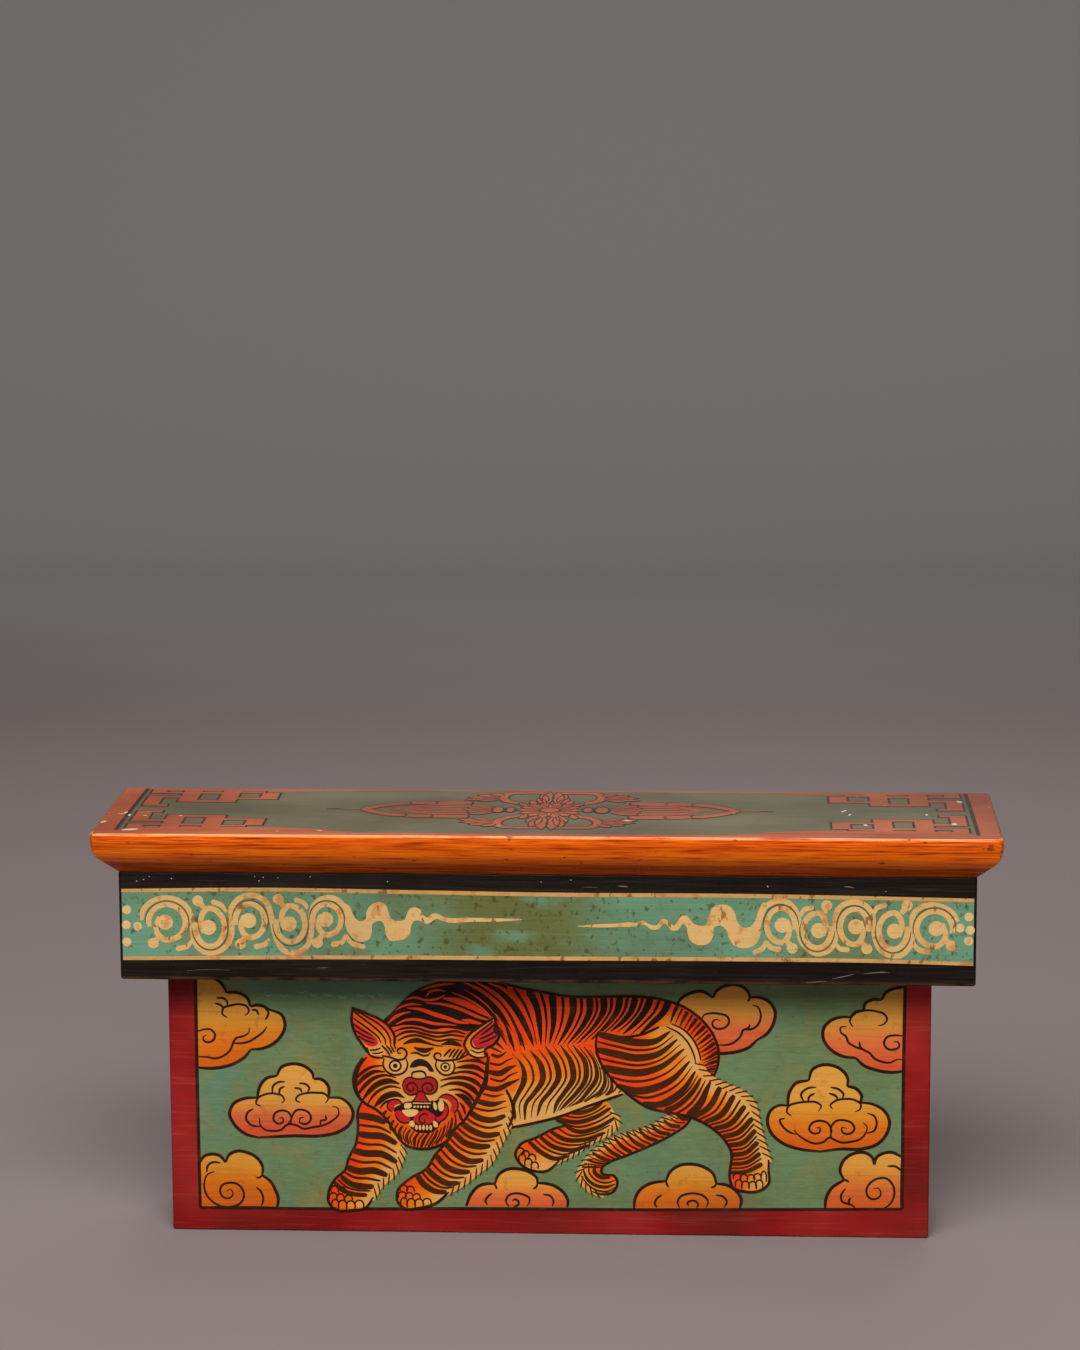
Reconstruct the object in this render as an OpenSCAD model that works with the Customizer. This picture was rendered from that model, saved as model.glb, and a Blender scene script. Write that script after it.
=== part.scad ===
// Low painted altar table with an open back.
// A moulded top board lies on a frieze of four rails. The frieze hangs round a set-back body of a
// front panel and two sides, which carry the load from the top board to the floor.
// Millimetres: X along the width, the front towards -Y, Z up, floor at Z = 0, origin under the
// middle of the top board.

/* [Top board] */
// Height of the top surface above the floor
table_h = 306; // [260:1:400]
// Width over the moulded ends
top_w = 642; // [520:1:900]
// Depth from the moulded front to the plain back edge
top_d = 160; // [145:1:260]
// Thickness of the plank
top_t = 32; // [26:1:44]
// Height of the upright nose above the chamfer
nose_h = 15; // [10:1:20]
// Rounding where the nose meets the top surface
arris_r = 3; // [1:0.5:5]
// Rounding where the nose turns into the chamfer
nose_turn_r = 9; // [4:0.5:11]
// Rounding of the two front corners in plan
top_corner_r = 4; // [1:0.5:8]
// Overhang of the top board past the frieze at each end
overhang_side = 17; // [12:1:30]
// Overhang of the top board past the frieze at the front
overhang_front = 20; // [12:1:30]
// Overhang of the top board past the frieze at the back
overhang_back = 6; // [0:1:15]

/* [Frieze] */
// Height of the frieze rails
frieze_h = 79; // [60:1:110]
// Thickness of the front and side rails
frieze_t = 18; // [15:0.5:22]
// Thickness of the plain back rail
back_rail_t = 15; // [12:0.5:18]

/* [Body] */
// Set-back of the front panel behind the frieze face
inset_front = 28; // [25:0.5:34]
// Set-back of each side panel inside the frieze face
inset_side = 29.5; // [25:0.5:40]
// Thickness of the front panel
panel_t = 15; // [13:0.5:18]
// Thickness of each side panel
side_t = 15; // [13:0.5:18]
// Width of the eased edge along the outer boards
ease = 1; // [0.5:0.1:2]

/* [Blocks and cleats] */
// Width of the cleats under the top board
cleat_w = 20; // [16:1:24]
// Height of the cleats under the top board
cleat_h = 20; // [16:1:26]
// Side of the square glue blocks in the front corners
block_w = 20; // [14:1:28]
// Clear height under the glue blocks
block_foot = 20; // [5:1:60]

/* [Fasteners] */
// Diameter of the wooden dowels
dowel_d = 8; // [5:0.5:10]
// Length of the wooden dowels
dowel_len = 32; // [24:1:40]
// Depth of a dowel in the board that covers the joint
dowel_in = 10; // [6:0.5:11]
// Diameter of the screw shanks
screw_d = 4; // [3:0.5:5]
// Diameter of the countersunk screw heads
screw_head_d = 8; // [6.5:0.5:9]
// Depth of the screw thread in the last board
screw_bite = 11; // [8:0.5:12]
// Distance from a screw to the edge of its batten
screw_edge = 10; // [7:0.5:14]
// Play round dowels and screws in their holes
hole_play = 0.05; // [0.02:0.01:0.2]
// Screws along the front and back cleats
long_cleat_screw_count = 4; // [2:1:8]
// Screws from the front panel into the frieze
front_apron_screw_count = 5; // [2:1:8]
// Screws from each side panel into the frieze
side_apron_screw_count = 2; // [1:1:3]
// Dowels at each front corner of the frieze and at each end of the back rail
frieze_dowel_count = 2; // [1:1:3]
// Dowels at each front corner of the body
body_dowel_count = 4; // [2:1:6]

/* [Hidden] */
$fn = 48;
// Points on each rounded corner of a moulding section
turn_steps = 6;
// Extra length of cuts and section prisms past the faces that they cross
past = 1;

orange_varnish = [0.80, 0.36, 0.05];
teal_paint = [0.36, 0.52, 0.42];
red_paint = [0.53, 0.12, 0.11];
sawn_wood = [0.66, 0.50, 0.33];
dowel_wood = [0.76, 0.62, 0.42];
screw_steel = [0.55, 0.55, 0.56];

front_y = -top_d / 2;
back_y = top_d / 2;
top_under = table_h - top_t;

frieze_w = top_w - 2 * overhang_side;
frieze_front_y = front_y + overhang_front;
frieze_rear_y = frieze_front_y + frieze_t;
frieze_back_y = back_y - overhang_back;
frieze_bottom = top_under - frieze_h;
frieze_in_x = frieze_w / 2 - frieze_t;

body_w = frieze_w - 2 * inset_side;
panel_front_y = frieze_front_y + inset_front;
panel_rear_y = panel_front_y + panel_t;
side_in_x = body_w / 2 - side_t;
side_back_y = frieze_back_y - back_rail_t;

front_gap = inset_front - frieze_t;
side_gap = inset_side - frieze_t;
packing_h = cleat_h + 2 * screw_edge;
apron_screw_z = top_under - cleat_h - screw_edge;
block_top = top_under - packing_h;

screw_head_h = (screw_head_d - screw_d) / 2;
screw_tip_h = screw_d;
cleat_screw_len = cleat_h + screw_bite;
front_screw_len = panel_t + front_gap + screw_bite;
side_screw_len = side_t + side_gap + screw_bite;

// Points of an arc that rounds the corner b of the path a, b, c
function turned(a, b, c, r) =
    let (
        u = (a - b) / norm(a - b),
        v = (c - b) / norm(c - b),
        half = acos(u * v) / 2,
        middle = b + (u + v) / norm(u + v) * r / sin(half),
        first = b + u * r / tan(half) - middle,
        last = b + v * r / tan(half) - middle,
        sweep = 180 - 2 * half,
        sense = sign(first.x * last.y - first.y * last.x)
    )
    [for (i = [0 : turn_steps])
        let (t = sense * sweep * i / turn_steps)
        middle + [first.x * cos(t) - first.y * sin(t), first.x * sin(t) + first.y * cos(t)]];

// Edge of the top board in section: distance in from the nose, height above the underside
function edge_section(overhang) =
    let (
        foot = [overhang, 0],
        turn = [0, top_t - nose_h],
        crest = [0, top_t],
        inside = [overhang, top_t]
    )
    concat([foot], turned(foot, turn, crest, nose_turn_r), turned(turn, crest, inside, arris_r));

// Places of n things spread evenly from a to b, with half a step left at each end
function spread(n, a, b) = [for (i = [0 : n - 1]) a + (b - a) * (i + 0.5) / n];

// Rectangle with eased corners, about the origin
module eased_rectangle(w, h) {
    polygon([
        for (q = [[1, 1], [-1, 1], [-1, -1], [1, -1]])
            let (corner = [q.x * w / 2, q.y * h / 2], upright_first = q.x * q.y > 0)
            each [
                corner - (upright_first ? [0, q.y * ease] : [q.x * ease, 0]),
                corner - (upright_first ? [q.x * ease, 0] : [0, q.y * ease])
            ]
    ]);
}

// Box from its lowest to its highest corner
module box(low, high) {
    translate(low) cube(high - low);
}

// Board from its lowest to its highest corner, with its edges eased along X and along Z
module eased_board(low, high) {
    size = high - low;
    translate((low + high) / 2) intersection() {
        rotate([90, 0, 90]) linear_extrude(size.x, center = true) eased_rectangle(size.y, size.z);
        linear_extrude(size.z, center = true) eased_rectangle(size.x, size.y);
    }
}

// Wood screw along +Z with the flat of its countersunk head at Z = 0, grown all round by play
module wood_screw(length, play = 0) {
    cylinder(d1 = screw_head_d + 2 * play, d2 = screw_d + 2 * play, h = screw_head_h);
    cylinder(d = screw_d + 2 * play, h = length - screw_tip_h);
    translate([0, 0, length - screw_tip_h])
        cylinder(d1 = screw_d + 2 * play, d2 = screw_d / 4 + 2 * play, h = screw_tip_h);
}

// Dowel along +Z, with dowel_in of its length below Z = 0
module dowel(play = 0) {
    translate([0, 0, -dowel_in - play]) cylinder(d = dowel_d + 2 * play, h = dowel_len + 2 * play);
}

// Dowels from the front rail back into the side rails
module frieze_dowel_set(play = 0) {
    for (s = [-1, 1], z = spread(frieze_dowel_count, frieze_bottom, top_under))
        translate([s * (frieze_w / 2 - frieze_t / 2), frieze_rear_y, z]) rotate([-90, 0, 0]) dowel(play);
}

// Dowels from the side rails in to the ends of the back rail
module back_rail_dowel_set(play = 0) {
    for (s = [-1, 1], z = spread(frieze_dowel_count, frieze_bottom, top_under))
        translate([s * frieze_in_x, frieze_back_y - back_rail_t / 2, z]) rotate([0, -s * 90, 0]) dowel(play);
}

// Dowels from the front panel back into the side panels
module body_dowel_set(play = 0) {
    for (s = [-1, 1], z = spread(body_dowel_count, 0, block_top))
        translate([s * (body_w / 2 - side_t / 2), panel_rear_y, z]) rotate([-90, 0, 0]) dowel(play);
}

// Screws up through the cleats into the top board
module cleat_screw_set(play = 0) {
    cleat_under = top_under - cleat_h;
    long_rows = [panel_rear_y + cleat_w / 2, side_back_y - cleat_w / 2];
    for (x = spread(long_cleat_screw_count, -side_in_x, side_in_x), y = long_rows)
        translate([x, y, cleat_under]) wood_screw(cleat_screw_len, play);
    for (s = [-1, 1])
        translate([s * (side_in_x - cleat_w / 2), (panel_rear_y + side_back_y) / 2, cleat_under])
            wood_screw(cleat_screw_len, play);
}

// Screws from inside the body, through the packing, into the frieze rails
module apron_screw_set(play = 0) {
    for (x = spread(front_apron_screw_count, -side_in_x, side_in_x))
        translate([x, panel_rear_y, apron_screw_z]) rotate([90, 0, 0]) wood_screw(front_screw_len, play);
    for (s = [-1, 1], y = spread(side_apron_screw_count, panel_rear_y, side_back_y))
        translate([s * side_in_x, y, apron_screw_z]) rotate([0, s * 90, 0]) wood_screw(side_screw_len, play);
}

// Plank with a nose and chamfer along its front and both ends, mitred at the corners
module top_board() {
    front = [for (p = edge_section(overhang_front)) [front_y + p.x, p.y]];
    end = [for (p = edge_section(overhang_side)) [-top_w / 2 + p.x, p.y]];
    mirrored_end = [for (i = [len(end) - 1 : -1 : 0]) [-end[i].x, end[i].y]];
    color(orange_varnish) difference() {
        translate([0, 0, top_under]) intersection() {
            rotate([90, 0, 90]) linear_extrude(top_w + past, center = true)
                polygon(concat(front, [[back_y, top_t], [back_y, 0]]));
            rotate([90, 0, 0]) linear_extrude(top_d + past, center = true)
                polygon(concat(end, mirrored_end));
            top_plan();
        }
        cleat_screw_set(hole_play);
    }
}

// Outline of the top board in plan, as a prism, with round front corners
module top_plan() {
    linear_extrude(top_t) {
        for (s = [-1, 1])
            translate([s * (top_w / 2 - top_corner_r), front_y + top_corner_r]) circle(top_corner_r);
        translate([-top_w / 2, front_y + top_corner_r]) square([top_w, top_d - top_corner_r]);
        translate([-top_w / 2 + top_corner_r, front_y]) square([top_w - 2 * top_corner_r, top_d]);
    }
}

module frieze_front() {
    color(teal_paint) difference() {
        eased_board([-frieze_w / 2, frieze_front_y, frieze_bottom], [frieze_w / 2, frieze_rear_y, top_under]);
        frieze_dowel_set(hole_play);
        apron_screw_set(hole_play);
    }
}

// Side rail of the frieze on the side s, which is -1 at the left and 1 at the right
module frieze_side(s) {
    outer = s * frieze_w / 2;
    inner = s * frieze_in_x;
    color(teal_paint) difference() {
        eased_board(
            [min(outer, inner), frieze_rear_y, frieze_bottom],
            [max(outer, inner), frieze_back_y, top_under]
        );
        frieze_dowel_set(hole_play);
        back_rail_dowel_set(hole_play);
        apron_screw_set(hole_play);
    }
}

module frieze_back() {
    color(sawn_wood) difference() {
        box([-frieze_in_x, side_back_y, frieze_bottom], [frieze_in_x, frieze_back_y, top_under]);
        back_rail_dowel_set(hole_play);
    }
}

module front_panel() {
    color(red_paint) difference() {
        eased_board([-body_w / 2, panel_front_y, 0], [body_w / 2, panel_rear_y, top_under]);
        body_dowel_set(hole_play);
        apron_screw_set(hole_play);
    }
}

module side_panel(s) {
    outer = s * body_w / 2;
    inner = s * side_in_x;
    color(red_paint) difference() {
        eased_board([min(outer, inner), panel_rear_y, 0], [max(outer, inner), side_back_y, top_under]);
        body_dowel_set(hole_play);
        apron_screw_set(hole_play);
    }
}

// Battens that fill the gap between the frieze and the body, under the top board
module packing_front() {
    color(sawn_wood) difference() {
        box([-body_w / 2, frieze_rear_y, top_under - packing_h], [body_w / 2, panel_front_y, top_under]);
        apron_screw_set(hole_play);
    }
}

module packing_side(s) {
    outer = s * frieze_in_x;
    inner = s * body_w / 2;
    color(sawn_wood) difference() {
        box(
            [min(outer, inner), frieze_rear_y, top_under - packing_h],
            [max(outer, inner), side_back_y, top_under]
        );
        apron_screw_set(hole_play);
    }
}

// Cleats along the front panel and the back rail, at the depth y of their lower face
module long_cleat(y) {
    color(sawn_wood) difference() {
        box([-side_in_x, y, top_under - cleat_h], [side_in_x, y + cleat_w, top_under]);
        cleat_screw_set(hole_play);
    }
}

module short_cleat(s) {
    outer = s * side_in_x;
    inner = s * (side_in_x - cleat_w);
    color(sawn_wood) difference() {
        box(
            [min(outer, inner), panel_rear_y + cleat_w, top_under - cleat_h],
            [max(outer, inner), side_back_y - cleat_w, top_under]
        );
        cleat_screw_set(hole_play);
    }
}

// Glue block that stands in a front corner of the body
module corner_block(s) {
    outer = s * side_in_x;
    inner = s * (side_in_x - block_w);
    color(sawn_wood) box(
        [min(outer, inner), panel_rear_y, block_foot],
        [max(outer, inner), panel_rear_y + block_w, block_top]
    );
}

top_board();
frieze_front();
frieze_side(-1);  // frieze_left
frieze_side(1);  // frieze_right
frieze_back();
front_panel();
side_panel(-1);  // side_panel_left
side_panel(1);  // side_panel_right
packing_front();
packing_side(-1);  // packing_left
packing_side(1);  // packing_right
long_cleat(panel_rear_y);  // cleat_front
long_cleat(side_back_y - cleat_w);  // cleat_back
short_cleat(-1);  // cleat_left
short_cleat(1);  // cleat_right
corner_block(-1);  // corner_block_left
corner_block(1);  // corner_block_right
color(dowel_wood) frieze_dowel_set();  // frieze_dowels
color(dowel_wood) back_rail_dowel_set();  // back_rail_dowels
color(dowel_wood) body_dowel_set();  // body_dowels
color(screw_steel) cleat_screw_set();  // cleat_screws
color(screw_steel) apron_screw_set();  // apron_screws
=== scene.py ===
"""Low painted altar table: a varnished top board, a scrolled frieze and a front panel with a tiger."""

import math

import bmesh
import bpy
from mathutils import Matrix, Vector, noise
from mathutils.geometry import delaunay_2d_cdt


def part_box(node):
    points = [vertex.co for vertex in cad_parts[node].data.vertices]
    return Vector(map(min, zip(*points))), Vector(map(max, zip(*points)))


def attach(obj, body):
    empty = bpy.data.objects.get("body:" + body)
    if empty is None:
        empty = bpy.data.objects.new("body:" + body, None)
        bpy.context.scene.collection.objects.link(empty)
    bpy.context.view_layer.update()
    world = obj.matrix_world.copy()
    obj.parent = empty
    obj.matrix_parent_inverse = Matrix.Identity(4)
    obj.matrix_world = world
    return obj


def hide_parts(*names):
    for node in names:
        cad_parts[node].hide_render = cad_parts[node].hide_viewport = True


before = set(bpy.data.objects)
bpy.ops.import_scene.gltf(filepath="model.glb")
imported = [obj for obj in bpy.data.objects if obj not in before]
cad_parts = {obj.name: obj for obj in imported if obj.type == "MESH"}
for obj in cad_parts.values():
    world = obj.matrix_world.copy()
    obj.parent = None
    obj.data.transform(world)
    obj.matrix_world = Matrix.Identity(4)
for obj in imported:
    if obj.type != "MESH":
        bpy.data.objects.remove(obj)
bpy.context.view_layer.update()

# Painted work is set out in millimetres on the face that carries it
MM = 0.001


def box_mm(node):
    """The low and the high corner of a CAD node, in millimetres."""
    return [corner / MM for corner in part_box(node)]


def paint(red, green, blue):
    """A paint's colour, written as screen values from 0 to 255, for a shader socket."""
    def straight(value):
        value /= 255
        return value / 12.92 if value <= 0.04045 else ((value + 0.055) / 1.055) ** 2.4
    return straight(red), straight(green), straight(blue), 1.0


# Shader maths

class Value:
    """A shader socket that can stand in a sum."""

    def __init__(self, finish, socket):
        self.finish = finish
        self.socket = socket

    def maths(self, operation, first, second):
        return self.finish.node("ShaderNodeMath", {"operation": operation}, {0: first, 1: second})

    def __add__(self, other):
        return self.maths("ADD", self, other)

    __radd__ = __add__

    def __sub__(self, other):
        return self.maths("SUBTRACT", self, other)

    def __rsub__(self, other):
        return self.maths("SUBTRACT", other, self)

    def __mul__(self, other):
        return self.maths("MULTIPLY", self, other)

    __rmul__ = __mul__


class Finish:
    """One procedural material on a Principled shader."""

    def __init__(self, name, constants=None):
        self.material = bpy.data.materials.new(name)
        self.material.use_nodes = True
        self.tree = self.material.node_tree
        self.tree.nodes.clear()
        output = self.tree.nodes.new("ShaderNodeOutputMaterial")
        self.shader = self.tree.nodes.new("ShaderNodeBsdfPrincipled")
        self.tree.links.new(self.shader.outputs[0], output.inputs[0])
        self.place = self.node("ShaderNodeTexCoord", out="Object")
        self.surface(constants or {})

    def node(self, kind, settings=None, sockets=None, out=0):
        made = self.tree.nodes.new(kind)
        for name, value in (settings or {}).items():
            if name == "stops":
                self.set_stops(made.color_ramp, value)
            else:
                setattr(made, name, value)
        for name, value in (sockets or {}).items():
            self.feed(made.inputs[name], value)
        return Value(self, made.outputs[out])

    def set_stops(self, ramp, stops):
        while len(ramp.elements) < len(stops):
            ramp.elements.new(1.0)
        for element, (position, colour) in zip(ramp.elements, stops):
            element.position = position
            element.color = colour

    def feed(self, socket, value):
        if isinstance(value, Value):
            self.tree.links.new(value.socket, socket)
        else:
            socket.default_value = value

    def surface(self, sockets):
        for name, value in sockets.items():
            self.feed(self.shader.inputs[name], value)
        return self

    def axis(self, letter):
        return self.node("ShaderNodeSeparateXYZ", None, {0: self.place}, out=letter)

    def noise(self, scale, detail=4.0, stretch=(1, 1, 1), shift=0.0):
        place = self.node("ShaderNodeMapping", None,
                          {"Vector": self.place, "Location": (shift, shift, shift), "Scale": stretch})
        return self.node("ShaderNodeTexNoise", None, {"Vector": place, "Scale": scale, "Detail": detail})

    def cracks(self, scale, stretch=(1, 1, 1)):
        place = self.node("ShaderNodeMapping", None, {"Vector": self.place, "Scale": stretch})
        return self.node("ShaderNodeTexVoronoi", {"feature": "DISTANCE_TO_EDGE"},
                         {"Vector": place, "Scale": scale})

    def between(self, value, low, high, start=0.0, end=1.0):
        return self.node("ShaderNodeMapRange", {"interpolation_type": "SMOOTHSTEP"},
                         {0: value, 1: low, 2: high, 3: start, 4: end})

    def mix(self, share, first, second):
        return self.node("ShaderNodeMix", {"data_type": "RGBA"}, {0: share, 6: first, 7: second}, out=2)

    def stain(self, colour, tint, share, low, high, *pattern, **shift):
        """Lays a tint over a colour where a noise rises from a low to a high level."""
        return self.mix(self.between(self.noise(*pattern, **shift), low, high) * share, colour, tint)

    def attribute(self, name):
        return self.node("ShaderNodeAttribute", {"attribute_name": name}, out="Fac")

    def ramp(self, value, stops):
        """Colours along a value, given as pairs of a position and a paint."""
        stops = [(position, paint(*colour)) for position, colour in stops]
        return self.node("ShaderNodeValToRGB", {"stops": stops}, {0: value})

    def bump(self, height, strength, distance):
        return self.node("ShaderNodeBump", None,
                         {"Strength": strength, "Distance": distance, "Height": height})


# Stretch of a noise that runs with the grain
ALONG_X = (0.7, 24, 24)
ALONG_Y = (24, 0.7, 24)
ALONG_Z = (24, 24, 0.7)
SOIL = paint(70, 52, 30)
RUBBED = paint(235, 215, 170)


def weather(finish, colour, soiling=0.3, streaks=0.16, chips=0.0, under=SOIL, rough=0.46):
    """Ages a coat of paint: handling dirt, grain showing through, fine cracks, chips and dulled gloss."""
    patches = finish.noise(11, 6)
    lines = finish.noise(26, 5, ALONG_X, 3.1)
    fine = finish.noise(420, 3, shift=1.7)
    speckle = finish.noise(170, 5, shift=5.3)
    colour = finish.mix(finish.between(patches, 0.46, 0.78) * soiling, colour, SOIL)
    colour = finish.mix(finish.between(lines, 0.5, 0.72) * streaks, colour, SOIL)
    colour = finish.mix(finish.between(lines, 0.46, 0.28) * (streaks * 0.2), colour, RUBBED)
    colour = finish.mix(finish.between(speckle, 0.62, 0.7) * (soiling * 0.8), colour, SOIL)
    if chips:
        bare = finish.between(finish.noise(95, 6, (0.8, 1.6, 1.6), 8.4), 0.74 - chips, 0.77 - chips)
        colour = finish.mix(bare, colour, under)
    crackle = finish.between(finish.cracks(210, (1, 1.6, 1.6)), 0.0, 0.07)
    height = lines * 0.4 + fine * 0.12 + crackle * 0.10 + speckle * 0.12
    return finish.surface({
        "Base Color": colour,
        "Roughness": finish.between(patches, 0.3, 0.7, rough - 0.06, rough + 0.1) + fine * 0.05,
        "Normal": finish.bump(height, 0.5, 0.0006),
    })


SATIN = {"Specular IOR Level": 0.16}


def plain_paint(name, colours, **wear):
    """A brushed coat that drifts between three mixes of one colour."""
    finish = Finish(name, SATIN)
    drift = finish.noise(7, 5, (1, 1.8, 1.8), 2.2)
    return weather(finish, finish.ramp(drift, list(zip((0.34, 0.5, 0.66), colours))), **wear)


def shaded_paint(name, stops, second=None, **wear):
    """A coat that runs from one colour to the next by each shape's own shade and tone."""
    finish = Finish(name, SATIN)
    shade = finish.attribute("shade") + (finish.noise(60, shift=4.4) - 0.5) * 0.16
    colour = finish.ramp(shade, stops)
    if second:
        colour = finish.mix(finish.attribute("tone"), colour, finish.ramp(shade, second))
    return weather(finish, colour, **wear)


def line_paint():
    """Black of the drawn lines: browner by each line's own shade, thin in places."""
    finish = Finish("lamp_black_line", SATIN)
    brown = finish.between(finish.attribute("shade"), 0.3, 0.9)
    colour = finish.mix(brown, paint(26, 9, 5), paint(70, 32, 3))
    colour = finish.stain(colour, paint(98, 46, 12), 0.5, 0.52, 0.74, 70, 5, shift=6.1)
    return weather(finish, colour, soiling=0.08, streaks=0.1)


def frieze_teal_paint():
    """Teal with an olive bloom of old varnish in the middle and brown flecks all over."""
    finish = Finish("frieze_teal", SATIN)
    drift = finish.noise(9, 6, (1, 1.5, 1.5), 0.4)
    colour = finish.ramp(drift, [(0.3, (92, 122, 90)), (0.5, (101, 142, 110)), (0.7, (108, 158, 132))])
    across = finish.axis("X")
    bloom = finish.between(across, -0.115, -0.045) * finish.between(across, 0.065, 0.0)
    bloom = bloom * finish.between(finish.noise(30, 7, (1, 1, 2), 9.2), 0.32, 0.54)
    colour = finish.mix(bloom * 0.9, colour, paint(98, 98, 46))
    colour = finish.stain(colour, paint(104, 108, 62), 0.55, 0.47, 0.68, 24, 7, shift=3.3)
    colour = finish.stain(colour, paint(74, 60, 28), 0.7, 0.6, 0.66, 170, 6, (1.2, 1, 0.9), 6.6)
    colour = finish.stain(colour, paint(78, 72, 36), 0.6, 0.6, 0.67, 230, 5, shift=7.7)
    return weather(finish, colour, soiling=0.25, rough=0.48)


def scroll_cream():
    """Cream of the scroll work, stained orange and flecked brown."""
    finish = Finish("scroll_cream", SATIN)
    shade = finish.attribute("shade") + (finish.noise(50, 5, shift=4.4) - 0.5) * 0.5
    colour = finish.ramp(shade, [(0.1, (188, 134, 68)), (0.5, (216, 172, 106)), (0.9, (226, 190, 132))])
    colour = finish.stain(colour, paint(192, 112, 36), 0.6, 0.54, 0.66, 110, 6, shift=1.9)
    colour = finish.stain(colour, paint(120, 66, 22), 0.75, 0.61, 0.67, 140, 6, (1.4, 1, 0.8), 2.7)
    return weather(finish, colour, soiling=0.2, streaks=0.15)


def frieze_black_paint():
    """Black of the frieze boards, worn to brown along the lower edge and scuffed."""
    finish = Finish("frieze_black", SATIN)
    drift = finish.noise(13, 6, ALONG_X, 2.9)
    colour = finish.mix(finish.between(drift, 0.42, 0.7), paint(17, 11, 8), paint(32, 23, 18))
    low = finish.between(finish.axis("Z"), 0.1985, 0.1958)
    worn = low * finish.between(finish.noise(60, 5, (1, 3, 3), 1.1), 0.34, 0.6)
    colour = finish.mix(worn * 0.55, colour, paint(104, 66, 38))
    colour = finish.stain(colour, paint(130, 104, 74), 0.5, 0.70, 0.75, 70, 6, (0.5, 2.6, 2.6), 12.5)
    return weather(finish, colour, soiling=0.1, streaks=0.1, rough=0.4)


def panel_green_paint():
    """Green ground, brushed unevenly: bluer and more ochre in patches, dabbed, woven and specked."""
    finish = Finish("panel_green", SATIN)
    drift = finish.noise(13, 7, (1, 1.3, 0.8), 2.2)
    colour = finish.ramp(drift, [(0.32, (116, 118, 70)), (0.44, (102, 120, 76)), (0.58, (104, 130, 88)),
                                 (0.7, (95, 131, 101))])
    colour = finish.stain(colour, paint(94, 134, 112), 0.45, 0.54, 0.74, 21, 6, (1, 1, 1.4), 6.4)
    colour = finish.stain(colour, paint(140, 122, 64), 0.7, 0.54, 0.7, 17, 7, (1, 1, 0.7), 8.8)
    colour = finish.stain(colour, paint(136, 122, 66), 0.34, 0.53, 0.68, 64, 6, (1, 1, 0.8), 3.4)
    colour = finish.stain(colour, paint(126, 150, 112), 0.22, 0.4, 0.66, 330, 3, (0.4, 1, 1.6), 1.2)
    colour = finish.stain(colour, paint(146, 92, 36), 0.6, 0.68, 0.74, 105, 6, (0.8, 1, 1), 7.9)
    return weather(finish, colour, soiling=0.25, streaks=0.09)


def varnished_edge():
    """Orange varnish over wood with its grain, and painted light: painted shade down the nose and in the
    hollow, a paler slope, a painted highlight on the arris.
    The heights at which it changes are metres above the ground."""
    finish = Finish("orange_varnish",
                    {"Specular IOR Level": 0.12, "Coat Weight": 0.16, "Coat Roughness": 0.07})
    height = finish.axis("Z")
    grain = finish.noise(20, 7, (1.3, 30, 44), 0.8)
    broad = finish.noise(9, 4, (1.0, 3, 3), 5.2)
    pores = finish.between(finish.noise(46, 6, (1.1, 40, 60), 3.6), 0.57, 0.66)
    nicks = finish.between(finish.noise(130, 5, (0.7, 1.5, 1.5), 11.1), 0.68, 0.72)
    face = finish.ramp(grain, [(0.33, (120, 36, 0)), (0.43, (206, 74, 0)), (0.54, (234, 96, 0)),
                               (0.68, (250, 126, 4))])
    face = finish.mix(pores * 0.7, face, paint(116, 40, 0))
    face = finish.mix(finish.between(broad, 0.5, 0.75) * 0.4, face, paint(176, 66, 4))
    # Painted shade: the face of the nose is darkened lower down
    face = finish.mix(finish.between(height, 0.3015, 0.2960) * 0.3, face, paint(170, 58, 0))
    # Painted light: the slope under the nose is paler than the face, standing in for light from the front
    slope = finish.ramp(grain, [(0.34, (170, 50, 0)), (0.43, (246, 104, 0)), (0.6, (255, 128, 2))])
    slope = finish.mix(pores * 0.5, slope, paint(170, 56, 0))
    face = finish.mix(finish.between(height, 0.2965, 0.2910) * 0.95, face, slope)
    # Painted shade: the hollow under the slope is darker
    hollow = finish.mix(finish.between(grain, 0.4, 0.62), paint(150, 56, 2), paint(212, 88, 6))
    colour = finish.mix(finish.between(height, 0.2848, 0.2822), face, hollow)
    front = finish.between(finish.axis("Y"), -0.0700, -0.0725)
    colour = finish.mix(finish.between(height, 0.3020, 0.3035) * (1 - front), colour, paint(152, 72, 40))
    # Painted highlight: a pale, patchy band along the front arris
    painted_highlight = finish.between(height, 0.3036, 0.3050)
    painted_highlight = painted_highlight * finish.between(finish.noise(26, 6, (1, 2, 2), 2.6), 0.36, 0.58)
    colour = finish.mix(painted_highlight * front * 0.45, colour, paint(246, 196, 132))
    colour = finish.mix(nicks * 0.7, colour, paint(70, 30, 8))
    relief = grain * 0.6 + finish.noise(240, 3) * 0.15 - nicks * 0.5 - pores * 0.2
    return finish.surface({
        "Base Color": colour,
        "Roughness": finish.between(broad, 0.35, 0.7, 0.26, 0.4),
        "Normal": finish.bump(relief, 0.35, 0.0006),
    })


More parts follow.
